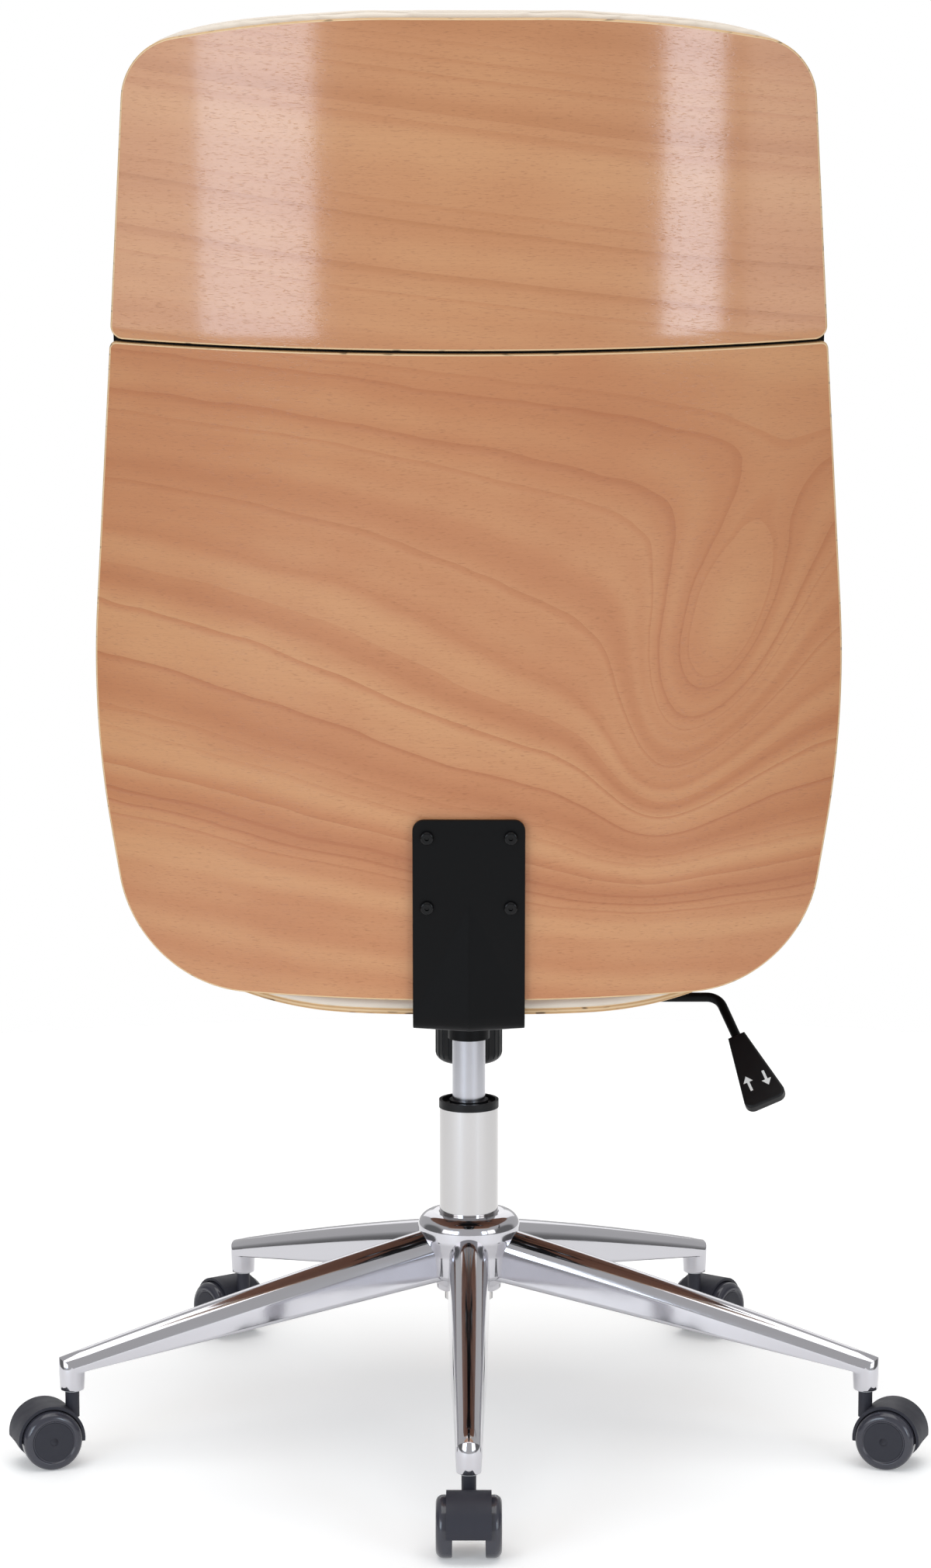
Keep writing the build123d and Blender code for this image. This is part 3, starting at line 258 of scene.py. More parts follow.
# turned and dull-plated: soft streaky reflections
satin_steel = plain("satin_chromed_steel", "#bcbcc2", 1.0, 0.22, 0.03, 30, 1.5, 0.0)
# bright electroplate on plain steel: pale grey with a cloudy sheen
zinc = plain("zinc_plated_steel", "#b9bcc0", 1.0, 0.35, 0.06, 5, 1.2, 0.01)
# baked epoxy powder: near black, satin, with a pimpled skin
powder_black = plain(
    "black_powder_coat", "#080809", 0.0, 0.42, 0.05, 20, 0.9, 0.02, Specular_IOR_Level=0.12
)
# blackened and oiled steel: dark and smooth with small glints
black_screw = plain("black_oxide_screw", "#0b0b0c", 0.0, 0.16, 0.03, 4, 0.6, 0.0, Specular_IOR_Level=0.2)
# injection-moulded in a spark-eroded tool: even and matt, with no sharp glints
black_plastic = plain(
    "moulded_black_polypropylene", "#0e0e10", 0.0, 0.42, 0.05, 10, 0.5, 0.02, Specular_IOR_Level=0.25
)
hood_plastic = plain("matt_grey_nylon", "#2b2b33", 0.0, 0.55, 0.05, 10, 0.5, 0.02, Specular_IOR_Level=0.3)
wheel_face = plain("matt_grey_nylon_disc", "#2a2a31", 0.0, 0.6, 0.05, 6, 0.5, 0.02, Specular_IOR_Level=0.3)
# moulded in a polished tool: glossy grey
wheel_plastic = plain("glossy_grey_nylon", "#35353d", 0.0, 0.16, 0.04, 8, 0.8, 0.0)
# uncoloured and slightly waxy
bearing_nylon = plain("natural_nylon", "#d8d4c8", 0.0, 0.4, 0.05, 10, 0.8, 0.01)
# painted shade: dull black for the strip behind the joint between the shells
seam_shade_black = plain(
    "seam_painted_shade_black", "#0c0b0b", 0.0, 0.85, 0.05, 3, 1.0, 0.05, Specular_IOR_Level=0.15
)
# printed white ink: a thin even film, slightly chalky
white_ink = plain("white_print_ink", "#d9d9d6", 0.0, 0.5, 0.05, 2, 0.4, 0.01)

# waves of the log in millimetres, each with a seed
calm_waves = ((420, 30, 3.1), (120, 7, 8.4))
wild_waves = ((420, 60, 3.1), (120, 14, 8.4), (32, 8, 5.7))
head_veneer = beech(
    "lacquered_beech_head", "#c28c60", "#ba8055", "#ad7146", -0.13, calm_waves, 40, (), 1.0
)
back_knots = (
    (-150.0, 660.0, 260.0, 170.0, 0.0, 95.0),
    (-196.0, 705.0, 58.0, 118.0, -0.30, 150.0),
    (-150.0, 600.0, 40.0, 50.0, 0.0, 22.0),
)
back_veneer = beech(
    "lacquered_beech_back", "#c08a5f", "#b67a51", "#a96942", -0.09, wild_waves, 36, back_knots, 0.5
)
# painted shade: the seat's underside is a darker beech than its upper face, standing for the shade under the
# seat that the legs reflect
underside_painted_shade = beech(
    "beech_underside_painted_shade", "#7a4e36", "#6b432e", "#573423", 0.05, calm_waves, 36, (), 0.5
)
seat_veneer = beech(
    "lacquered_beech_seat", "#c28b61", "#b97d54", "#ac6c45", 0.05, calm_waves, 36, (), 0.5
)
veneer_count = 7
back_edge = ply_edge("sanded_ply_edge_back", back_ply, veneer_count)
seat_edge = ply_edge("sanded_ply_edge_seat", seat_ply, veneer_count)
cream = leatherette("cream_leatherette")


# Shell forms: outlines in millimetres, then points on the bent surfaces
def fillet_path(corners, steps=41):
    """Outline through corners (x, v, radius), as one list of points for each corner's rounding."""
    rounds = []
    count = len(corners)
    for i, (x, v, radius) in enumerate(corners):
        here = np.array((x, v))
        before = np.array(corners[i - 1][:2]) - here
        after = np.array(corners[(i + 1) % count][:2]) - here
        before /= np.linalg.norm(before)
        after /= np.linalg.norm(after)
        half = math.acos(np.clip(before @ after, -1, 1)) / 2
        middle = here + (before + after) / np.linalg.norm(before + after) * radius / math.sin(half)
        start = here + before * radius / math.tan(half) - middle
        end = here + after * radius / math.tan(half) - middle
        first = math.atan2(start[1], start[0])
        sweep = (math.atan2(end[1], end[0]) - first + math.pi) % (2 * math.pi) - math.pi
        angles = first + sweep * np.linspace(0, 1, steps)
        rounds.append(middle + radius * np.stack((np.cos(angles), np.sin(angles)), 1))
    return rounds


def four_sides(rounds, turns, count):
    """Splits a rounded outline at the middle of four roundings, with points spaced closely at the ends."""
    sides = []
    half = len(rounds[0]) // 2
    for k, turn in enumerate(turns):
        stop = turns[(k + 1) % 4]
        path = [rounds[turn][half:]]
        i = (turn + 1) % len(rounds)
        while i != stop:
            path.append(rounds[i])
            i = (i + 1) % len(rounds)
        path.append(rounds[stop][:half + 1])
        path = np.concatenate(path)
        length = np.concatenate(([0], np.cumsum(np.linalg.norm(np.diff(path, axis=0), axis=1))))
        share = (1 - np.cos(math.pi * np.linspace(0, 1, count))) / 2 * length[-1]
        sides.append(np.stack([np.interp(share, length, path[:, axis]) for axis in (0, 1)], 1))
    return sides


def filled(sides):
    """Grid of points inside four sides that run round anticlockwise from the lower left."""
    low, right = sides[0], sides[1]
    high, left = sides[2][::-1], sides[3][::-1]
    s = ((1 - np.cos(math.pi * np.linspace(0, 1, len(low)))) / 2)[None, :, None]
    t = ((1 - np.cos(math.pi * np.linspace(0, 1, len(left)))) / 2)[:, None, None]
    grid = (1 - t) * low[None] + t * high[None] + (1 - s) * left[:, None] + s * right[:, None]
    grid -= (1 - s) * (1 - t) * low[0] + s * (1 - t) * low[-1]
    grid -= (1 - s) * t * high[0] + s * t * high[-1]
    return grid


def skin(loops, closed):
    """Points and faces of a skin over equal loops, with its ends capped unless it closes on itself."""
    count = len(loops[0])
    number = np.arange(len(loops) * count).reshape(-1, count)
    following = np.roll(number, -1, 0) if closed else number[1:]
    first = number if closed else number[:-1]
    quads = np.stack((first, np.roll(first, -1, 1), np.roll(following, -1, 1), following), -1)
    faces = quads.reshape(-1, 4).tolist()
    if not closed:
        faces += [number[0].tolist(), number[-1].tolist()]
    return np.concatenate(loops), faces


def mesh_piece(name, points, faces, materials, body, slot):
    """A smooth-shaded mesh from points in millimetres that rides on a body."""
    mesh = bpy.data.meshes.new(name)
    mesh.from_pydata((np.asarray(points) * MM).tolist(), [], faces)
    build = bmesh.new()
    build.from_mesh(mesh)
    bmesh.ops.recalc_face_normals(build, faces=build.faces)
    build.to_mesh(mesh)
    build.free()
    for material in materials:
        mesh.materials.append(material)
    mesh.shade_smooth()
    piece = bpy.data.objects.new(name, mesh)
    bpy.context.scene.collection.objects.link(piece)
    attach(piece, body)
    return piece


def loop_and_outward(sides):
    """The closed loop of four sides, and the outward direction at each of its points."""
    loop = np.concatenate([side[:-1] for side in sides])
    along = np.roll(loop, -1, 0) - np.roll(loop, 1, 0)
    out = np.stack((along[:, 1], -along[:, 0]), 1)
    return loop, out / np.linalg.norm(out, axis=1)[:, None]


def panel(name, sides, place, thickness, rounding, materials, body, slot):
    """A sheet with rounded edges in the last material; place turns (x, v, depth) into a point."""
    count = len(sides[0])
    loop, out = loop_and_outward(sides)
    inner = loop - out * rounding
    ends = [inner[k * (count - 1):(k + 1) * (count - 1) + 1] for k in range(3)]
    ends.append(np.concatenate((inner[3 * (count - 1):], inner[:1])))
    grid = filled(ends)
    flat = grid.reshape(-1, 2)
    points = [place(flat[:, 0], flat[:, 1], 0.0), place(flat[:, 0], flat[:, 1], thickness)]
    depths = [np.zeros(len(flat)), np.full(len(flat), thickness)]
    number = np.arange(count * count).reshape(count, count)
    around = np.concatenate((number[0, :-1], number[:-1, -1], number[-1, :0:-1], number[:0:-1, 0]))
    rings = [around]
    total = 2 * count * count
    bends = np.radians((22.5, 45.0, 67.5, 90.0))
    steps = [(rounding * (1 - math.sin(a)), rounding * (1 - math.cos(a))) for a in bends]
    steps += [(drawn_in, thickness - depth) for drawn_in, depth in steps[::-1]]
    for drawn_in, depth in steps:
        ring = loop - out * drawn_in
        points.append(place(ring[:, 0], ring[:, 1], depth))
        depths.append(np.full(len(ring), depth))
        rings.append(np.arange(total, total + len(ring)))
        total += len(ring)
    rings.append(around + count * count)
    faces = []
    for side in (0, count * count):
        quads = np.stack((number[:-1, :-1], number[:-1, 1:], number[1:, 1:], number[1:, :-1]), -1)
        faces += (quads.reshape(-1, 4) + side).tolist()
    face_count = len(faces)
    for lower, upper in zip(rings[:-1], rings[1:]):
        quads = np.stack((lower, np.roll(lower, -1), np.roll(upper, -1), upper), -1)
        faces += quads.tolist()
    piece = mesh_piece(name, np.concatenate(points), faces, materials, body, slot)
    depth_layer = piece.data.attributes.new("ply_depth", "FLOAT", "POINT")
    depth_layer.data.foreach_set("value", np.concatenate(depths).astype(np.float32))
    inner_face = 1 if len(materials) > 2 else 0
    finish = [0] * (face_count // 2) + [inner_face] * (face_count // 2)
    finish += [len(materials) - 1] * (len(faces) - face_count)
    piece.data.polygons.foreach_set("material_index", finish)
    return piece


def side_profile():
    """Distance along the back's side profile with its Y, Z and lean from upright."""
    stations = np.concatenate(([0], np.cumsum(back_runs)))
    along = np.linspace(0, stations[-1], 6001)
    lean = np.radians(np.interp(along, stations, back_leans))
    step = along[1] - along[0]
    middle = (lean[1:] + lean[:-1]) / 2
    y = back_foot[0] + np.concatenate(([0], np.cumsum(np.sin(middle) * step)))
    z = back_foot[1] + np.concatenate(([0], np.cumsum(np.cos(middle) * step)))
    return along, y, z, lean


profile = side_profile()
seam_y = np.interp(seam_along, profile[0], profile[1])


def back_point(x, v, depth):
    """Point of the bent back at x and outline height v, a depth in from the outer face."""
    along, ys, zs, leans = profile
    drop = np.sqrt((back_radius - depth) ** 2 - x ** 2) - back_radius
    s = seam_along + v - back_seam
    for _ in range(30):
        y = np.interp(s, along, ys) + np.cos(np.interp(s, along, leans)) * drop
        z = np.interp(s, along, zs) - np.sin(np.interp(s, along, leans)) * drop
        s = s + v - ((y - seam_y) * math.sin(outline_tilt) + z * math.cos(outline_tilt))
    return np.stack((x, y, z), 1)


def seat_point(x, y, depth):
    """Point of the bent seat at plan place (x, y), a depth up from the underside."""
    past = np.maximum(np.abs(x) - seat_flat, 0)
    rise = seat_side_radius - np.sqrt((seat_side_radius - depth) ** 2 - past ** 2)
    reach = seat_front_radius + rise
    roll = np.arcsin(np.clip((-seat_front_bend - y) / reach, 0, 1))
    z = seat_height - seat_front_radius + reach * np.cos(roll)
    return np.stack((x, y, z), 1)


back_corners = [
    (-270.0, back_bottom, 103.0),
    (270.0, back_bottom, 103.0),
    (305.0, back_widest, 800.0),
    (281.6, back_seam - seam_gap / 2, 6.0),
    (-281.6, back_seam - seam_gap / 2, 6.0),
    (-305.0, back_widest, 800.0),
]
head_corners = [
    (-281.4, back_seam + seam_gap / 2, 10.0),
    (281.4, back_seam + seam_gap / 2, 10.0),
    (267.5, head_top - 26.0, 52.0),
    (135.0, head_top, 860.0),
    (-135.0, head_top, 860.0),
    (-267.5, head_top - 26.0, 52.0),
]
seat_corners = [
    (-262.0, -252.0, 90.0),
    (262.0, -252.0, 90.0),
    (275.0, 206.0, 230.0),
    (-275.0, 206.0, 230.0),
]
wood = "beech_ply"
back_sides = four_sides(fillet_path(back_corners), (0, 1, 3, 4), 97)
back_shell = panel(
    "back_bentwood", back_sides, back_point, back_ply, edge_round, (back_veneer, back_edge), "seat", wood
)
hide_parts("back_shell")
head_sides = four_sides(fillet_path(head_corners), (0, 1, 2, 5), 97)
head_shell = panel(
    "headrest_bentwood", head_sides, back_point, back_ply, edge_round, (head_veneer, back_edge), "seat", wood
)
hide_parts("headrest_shell")
# painted shade: a black strip behind the joint inside the shells, which darkens the gap between them
shade_strip_half_length = 279.0
shade_strip_half_width = 9.0
shade_strip_corners = [
    (-shade_strip_half_length, back_seam - shade_strip_half_width, 3.0),
    (shade_strip_half_length, back_seam - shade_strip_half_width, 3.0),
    (shade_strip_half_length, back_seam + shade_strip_half_width, 3.0),
    (-shade_strip_half_length, back_seam + shade_strip_half_width, 3.0),
]


def shade_strip_point(x, v, depth):
    """Point of the black painted-shade strip, which is sunk a little into the inner faces."""
    return back_point(x, v, depth + back_ply - shade_strip_sink)


shade_strip_sides = four_sides(fillet_path(shade_strip_corners), (0, 1, 2, 3), 61)
panel("seam_painted_shade_strip", shade_strip_sides, shade_strip_point, 0.9, 0.2, (seam_shade_black,), "seat", "black_plastic")
seat_sides = four_sides(fillet_path(seat_corners), (0, 1, 2, 3), 97)
seat_finishes = (underside_painted_shade, seat_veneer, seat_edge)
seat_shell = panel(
    "seat_bentwood", seat_sides, seat_point, seat_ply, edge_round, seat_finishes, "seat", wood
)
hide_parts("seat_shell")


# Bracket: a folded strip with a shallow ridge pressed into its upright above the bend
bracket_lean = math.radians(back_leans[0])
bracket_turn = math.pi / 2 - bracket_lean
bracket_foot_z = seat_height - bracket_sheet / 2
bend_cut = bracket_bend * math.tan(bracket_turn / 2)
bend_arc = bracket_bend * bracket_turn
foot_run = back_foot[0] + (bracket_gap + bracket_sheet / 2) / math.cos(bracket_lean) - bracket_foot_front
foot_run += (bracket_foot_z - back_foot[1]) * math.tan(bracket_lean) - bend_cut
upright = (bracket_top - bracket_foot_z) / math.cos(bracket_lean) - bend_cut
bracket_length = foot_run + bend_arc + upright
ridge_top = 96.0
ridge_depth = 7.0
bend_hang = 2.0
bend_point = 3.0
bend_fade = 40.0


def bracket_point(x, v, depth):
    """Point of the bracket at x and distance v from the foot's front end; depth runs in from the outside."""
    angle = np.clip((v - foot_run) / bracket_bend, 0, bracket_turn)
    y = bracket_foot_front + np.minimum(v, foot_run) + bracket_bend * np.sin(angle)
    z = bracket_foot_z + bracket_bend * (1 - np.cos(angle))
    up = np.maximum(v - foot_run - bend_arc, 0)
    y = y + up * math.sin(bracket_lean)
    z = z + up * math.cos(bracket_lean)
    out = bracket_sheet / 2 - depth
    height = np.clip(1 - up / ridge_top, 0, 1)
    reach = np.maximum(height * bracket_half_width, 1e-6)
    tent = np.maximum(1 - np.abs(x) / reach, 0) * height
    swell = np.sin(angle) * tent * ridge_depth
    y = y + (out + swell) * np.sin(angle)
    # the bend hangs lower than the foot, most in its middle, where the ridge starts
    near_bend = np.clip(1 - np.abs(v - foot_run - bend_arc / 2) / bend_fade, 0, 1)
    z = z - out * np.cos(angle) - (bend_hang + bend_point * tent) * near_bend
    return np.stack((x, y, z), 1)


bracket_corners = [
    (-bracket_half_width, 0.0, 2.0),
    (bracket_half_width, 0.0, 2.0),
    (bracket_half_width, bracket_length, 9.0),
    (-bracket_half_width, bracket_length, 9.0),
]
bracket_sides = four_sides(fillet_path(bracket_corners), (0, 1, 2, 3), 141)
bracket = panel(
    "folded_bracket", bracket_sides, bracket_point, bracket_sheet, 0.7, (powder_black,), "seat", "black_steel"
)
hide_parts("back_bracket")


def read(mesh, what):
    """Places or normals of a mesh's points as rows."""
    values = np.empty(len(mesh.vertices) * 3, np.float32)
    mesh.vertices.foreach_get(what, values)
    return values.reshape(-1, 3).astype(float)


# Pads: foam under a sewn cover, swollen by a cloth simulation inside its outline
skin_voxel = 5.0
held_within = 2.5
skirt_height = 34.0
swell_steps = 20


def pad(node, name, shell, slack, limit, spread):
    """A pad from its solid: a fine skin, drawn in, then blown up with its back held on the shell."""
    source = nodes[node].data.copy()
    piece = bpy.data.objects.new(name, source)
    bpy.context.scene.collection.objects.link(piece)
    remesh = piece.modifiers.new("skin", "REMESH")
    remesh.mode = "VOXEL"
    remesh.voxel_size = skin_voxel * MM
    graph = bpy.context.evaluated_depsgraph_get()
    piece.data = bpy.data.meshes.new_from_object(piece.evaluated_get(graph))
    piece.modifiers.clear()
    mesh = piece.data
    tree = BVHTree.FromObject(shell, bpy.context.evaluated_depsgraph_get())
    first = read(mesh, "co")
    away = np.array([tree.find_nearest(point)[3] for point in first.tolist()])
    fixed = away < held_within * MM
    normal = read(mesh, "normal")
    first -= np.where(fixed, 0, slack * MM)[:, None] * normal
    # the cover's skirt spreads over the shell near its foot
    skirt = np.clip(1 - away / (skirt_height * MM), 0, 1)
    first[:, :2] += spread * MM * skirt[:, None] * normal[:, :2]
    mesh.vertices.foreach_set("co", first.ravel())
    group = piece.vertex_groups.new(name="held")
    group.add(np.flatnonzero(fixed).tolist(), 1.0, "REPLACE")
    cloth = piece.modifiers.new("swell", "CLOTH")
    cloth.settings.quality = 4
    cloth.settings.mass = 0.3
    cloth.settings.tension_stiffness = 12
    cloth.settings.compression_stiffness = 12
    cloth.settings.bending_stiffness = 2
    cloth.settings.use_pressure = True
    cloth.settings.uniform_pressure_force = 4
    cloth.settings.effector_weights.gravity = 0
    cloth.settings.vertex_group_mass = "held"
    cloth.collision_settings.use_collision = False
    scene = bpy.context.scene
    for step in range(swell_steps):
        scene.frame_set(step + 1)
    graph = bpy.context.evaluated_depsgraph_get()
    swollen = bpy.data.meshes.new_from_object(piece.evaluated_get(graph))
    piece.modifiers.clear()
    scene.frame_set(1)
    move = read(swollen, "co") - first
    length = np.linalg.norm(move, axis=1)[:, None]
    move *= np.minimum(1, limit * MM / np.maximum(length, 1e-9))
    mesh.vertices.foreach_set("co", (first + move).ravel())
    mesh.update()
    smooth = piece.modifiers.new("settle", "SMOOTH")
    smooth.factor = 0.5
    smooth.iterations = 6
    divide = piece.modifiers.new("divide", "SUBSURF")
    divide.levels = 1
    divide.render_levels = 1
    graph = bpy.context.evaluated_depsgraph_get()
    piece.data = bpy.data.meshes.new_from_object(piece.evaluated_get(graph))
    piece.modifiers.clear()
    piece.data.materials.clear()
    piece.data.materials.append(cream)
    piece.data.shade_smooth()
    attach(piece, "seat")
    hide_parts(node)
    return piece


back_cushion = pad("back_pad", "back_upholstery", back_shell, 2.5, 9.0, 0.0)
head_cushion = pad("headrest_pad", "headrest_upholstery", head_shell, 0.5, 6.0, 0.0)
pad("seat_cushion", "seat_upholstery", seat_shell, 4.0, 12.0, 9.0)


def level_top(cushion, sides, lift):
    """Moves a cushion's upper part so that its top line runs a steady lift above its shell's top edge."""
    points = read(cushion.data, "co") / MM
    edge = sides[2]
    edge = back_point(edge[:, 0], edge[:, 1], back_ply)
    edge = edge[np.argsort(edge[:, 0])]
    half_length = 250.0
    end_fade = 30.0
    depth = 70.0
    columns = np.linspace(-half_length, half_length, 51)
    crest = np.array([points[np.abs(points[:, 0] - x) < 6, 2].max() for x in columns])
    gap = np.interp(columns, edge[:, 0], edge[:, 2]) + lift - crest
    gap *= np.clip((half_length - np.abs(columns)) / end_fade, 0, 1)
    gap = np.convolve(np.pad(gap, 2, "edge"), (0.1, 0.2, 0.4, 0.2, 0.1), "valid")
    below = np.interp(points[:, 0], columns, crest) - points[:, 2]
    points[:, 2] += np.interp(points[:, 0], columns, gap) * np.clip(1 - below / depth, 0, 1) ** 2
    cushion.data.vertices.foreach_set("co", (points * MM).ravel())
    cushion.data.update()


level_top(head_cushion, head_sides, 4.0)


# Welts: a cord sewn into the seam along each pad's widest line
def welt(name, cushion, flat, thick):
    """A tube along the outermost ring of a pad, seen along the axis that its flat pair of axes leaves out."""
    points = read(cushion.data, "co") / MM
    plan = points[:, flat] - (points[:, flat].min(0) + points[:, flat].max(0)) / 2
    turn = np.arctan2(plan[:, 1], plan[:, 0])
    reach = np.linalg.norm(plan, axis=1)
    outer_band = 1.2
    steps = 180
    sector = np.floor((turn + math.pi) / (2 * math.pi) * steps).astype(int) % steps
    ring = []
    for k in range(steps):
        inside = np.flatnonzero(sector == k)
        far = inside[reach[inside] > reach[inside].max() - outer_band]
        ring.append(points[far].mean(0))
    ring = np.array(ring)
    for _ in range(6):
        ring = (np.roll(ring, 1, 0) + 2 * ring + np.roll(ring, -1, 0)) / 4
    along = np.roll(ring, -1, 0) - np.roll(ring, 1, 0)
    along /= np.linalg.norm(along, axis=1)[:, None]
    side = np.cross(along, ring - ring.mean(0))
    side /= np.linalg.norm(side, axis=1)[:, None]
    out = np.cross(side, along)
    spin = np.linspace(0, 2 * math.pi, 12, endpoint=False)
    loops = []
    for k in range(steps):
        section = np.outer(np.cos(spin), side[k]) + np.outer(np.sin(spin), out[k])
        loops.append(ring[k] + thick / 2 * section)
    mesh_piece(name, *skin(loops, True), (cream,), "seat", "cream_leatherette")


welt("back_welt", back_cushion, [0, 2], 4.0)
welt("headrest_welt", head_cushion, [0, 2], 4.0)
# the seat's welt lies at the foot of its cover and laps over the upper half of the ply's edge, and its flange
# runs in under the cushion: pairs of distance outside the ply's outline and height above its upper face
lap_radius = 4.0
lap_middle = (-0.8, -1.0)
lap_turn = np.radians(np.linspace(140, -110, 15))
lap = lap_radius * np.stack((np.cos(lap_turn), np.sin(lap_turn)), 1) + lap_middle
flange = ((-20.0, 0.2), (-20.0, 1.4), (-9.0, 1.8))
seat_loop, seat_out = loop_and_outward(seat_sides)
seat_welt_rings = []
for reach, rise in np.concatenate((flange, lap)):
    ring = seat_loop + seat_out * reach
    seat_welt_rings.append(seat_point(ring[:, 0], ring[:, 1], seat_ply + rise))
seat_welt_loops = list(np.stack(seat_welt_rings, 1))
mesh_piece("seat_welt", *skin(seat_welt_loops, True), (cream,), "seat", "cream_leatherette")


# Star base: five cast legs that taper and run out over upright round bosses for the casters
leg_turns = [math.radians(90 + 72 * i) for i in range(5)]
# each end of a leg: distance from the column's axis, half width, top and underside
leg_root = (22.0, 16.2, 179.5, 135.5)
leg_tip = (350.0, 10.8, 93.5, 78.0)
# shares of a leg's length: its end at the boss, the start and end of its hollow, and the hollow's run-out
leg_end = 0.965
hollow_start = 0.08
hollow_end = 0.93
hollow_fade = 0.08
leg_swell = 2.5
leg_draft = 0.13
boss_bottom = 62.5
boss_radius = 10.8
boss_foot_radius = 10.2
boss_edge = 0.5
boss_cap_radius = 7.0
cast_wall = 4.0
crown_steps = 41
side_steps = 6


def crown_height(half_width, height):
    """Height of the rounded crown on a leg's section."""
    return min(1.15 * half_width, 0.75 * height)


def arch(half_width, height, draft):
    """Half-round crown on upright sides, from the left foot over the top to the right foot."""
    angle = np.linspace(0, math.pi, crown_steps)
    crown = crown_height(half_width, height)
    side = np.linspace(0, 1, side_steps + 1)[:-1]
    left = np.stack((np.full(side_steps, -half_width), side * (height - crown)), 1)
    over = np.stack((-half_width * np.cos(angle), height - crown + crown * np.sin(angle)), 1)
    flat = np.concatenate((left, over, left[::-1] * (-1, 1)))
    lean = 1 + draft * (1 - flat[:, 1] / height)
    return flat * np.stack((lean, np.ones(len(flat))), 1)


def leg_loops():
    """Loops of (along, across, up) from the hub to the foot of the boss."""
    loops = []
    for share in np.linspace(0, leg_end, 41):
        along, half, top, low = [a + share * (b - a) for a, b in zip(leg_root, leg_tip)]
        top += 4 * leg_swell * share * (1 - share)
        draft = leg_draft * min(1, 3 * (leg_end - share))
        outer = arch(half, top - low, draft)
        hollow = np.clip((share - hollow_start) / hollow_fade, 0, 1)
        hollow *= np.clip((hollow_end - share) / hollow_fade, 0, 1)
        inner = arch(half - cast_wall, top - low - cast_wall, draft) * (1, hollow)
        flat = np.concatenate((outer, inner[::-1]))
        loops.append(np.stack((np.full(len(flat), along), flat[:, 0], low + flat[:, 1]), 1))
    # the crown runs out to the front half of the boss, and the sides and underside turn down round its back
    middle, half, top, low = leg_tip
    front = np.linspace(0, math.pi, crown_steps)
    back = math.pi + np.linspace(0, math.pi, crown_steps + 4 * side_steps + 2)[1:-1]
    turn = np.concatenate((back[-side_steps:], front, back[:-side_steps]))
    round_plan = np.stack((np.sin(turn), -np.cos(turn)), 1)
    crown = crown_height(half, top - low)
    fall = (leg_root[2] - top + 4 * leg_swell) / (middle - leg_root[0])
    side = np.linspace(0, 1, side_steps + 1)[:-1] * (top - low - crown)
    ridge = top - low - crown + (crown - fall * boss_radius) * np.sin(front)
    over = np.concatenate((side, ridge, side[::-1]))
    height = np.concatenate((over, np.zeros(len(turn) - len(over))))
    drawn_in = boss_radius - boss_edge * np.maximum(np.sin(turn), 0)
    rings = [(drawn_in, height + low), (boss_radius, height + low - boss_edge)]
    boss_rings = (
        (0.12, boss_radius),
        (0.5, (boss_radius + boss_foot_radius) / 2),
        (0.94, boss_foot_radius),
        (0.99, boss_foot_radius - 0.3),
        (1.0, boss_foot_radius - 1.0),
        (1.0, boss_cap_radius),
    )
    for share, radius in boss_rings:
        rings.append((radius, np.full(len(turn), low + share * (boss_bottom - low))))
    for radius, up in rings:
        plan = round_plan * np.reshape(radius, (-1, 1))
        loops.append(np.stack((middle + plan[:, 0], plan[:, 1], up), 1))
    return loops


def turned(outline, steps):
    """Points and faces of an outline (radius, height) turned round the upright axis."""
    angles = np.linspace(0, 2 * math.pi, steps, endpoint=False)
    radius, height = np.transpose(outline)
    loops = [np.stack((radius * math.cos(a), radius * math.sin(a), height), 1) for a in angles]
    return skin(loops, True)


hub_corners = [
    (25.1, 122.5, 0.5),
    (27.5, 122.5, 1.5),
    (28.0, 128.0, 1.5),
    (31.0, 129.0, 1.0),
    (32.0, 134.0, 2.0),
    (38.5, 136.5, 4.0),
    (39.5, 156.0, 12.0),
    (43.5, 169.0, 10.0),
    (43.5, 187.0, 12.0),
    (30.0, 189.5, 2.5),
    (25.1, 189.5, 0.8),
]
turned_fillet = 13
hub_points, hub_faces = turned(np.concatenate(fillet_path(hub_corners, turned_fillet)), 120)
leg_points, leg_faces = skin(leg_loops(), False)
base_points = [hub_points]
base_faces = list(hub_faces)
for i, turn in enumerate(leg_turns):
    start = len(hub_points) + i * len(leg_points)
    outward = (math.cos(turn), math.sin(turn), 0)
    across = (-math.sin(turn), math.cos(turn), 0)
    base_points.append(leg_points @ np.array((outward, across, (0, 0, 1))))
    base_faces += [[start + k for k in face] for face in leg_faces]
cast_base = mesh_piece(
    "cast_star_base", np.concatenate(base_points), base_faces, (aluminium,), "base", "polished_aluminium"
)
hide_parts("star_base")

# Caster wheels: a glossy rounded tread and a sunk matt disc, hollow behind
axle_reach = 372.0
wheel_inner = 13.2
wheel_outer = 26.3
tread_radius = 25.0
disc_radius = 17.3
disc_depth = 4.0
wheel_corners = [
    (3.1, wheel_inner, 0.2),
    (8.0, wheel_inner, 0.4),
    (8.0, wheel_outer - 4.8, 0.4),
    (20.0, wheel_outer - 4.8, 0.6),
    (20.0, wheel_inner, 0.5),
    (tread_radius, wheel_inner, 1.2),
    (tread_radius, wheel_outer, 6.0),
    (18.6, wheel_outer, 0.9),
    (17.6, wheel_outer - 1.1, 0.3),
    (16.8, wheel_outer - 1.1, 0.3),
    (16.5, wheel_outer - 0.6, 0.3),
    (3.1, wheel_outer - 0.6, 0.2),
]
cap_corners = (
    (0.0, wheel_outer - 3.2),
    (3.4, wheel_outer - 3.2),
    (3.4, wheel_outer - 0.6),
    (0.0, wheel_outer - 0.6),
)
wheel_points, wheel_faces = turned(np.concatenate(fillet_path(wheel_corners, turned_fillet)), 96)
cap_points, cap_faces = turned(cap_corners, 48)
wheel_faces += [[len(wheel_points) + k for k in face] for face in cap_faces]
wheel_points = np.concatenate((wheel_points, cap_points))
wheel_finishes = (wheel_plastic, wheel_face)
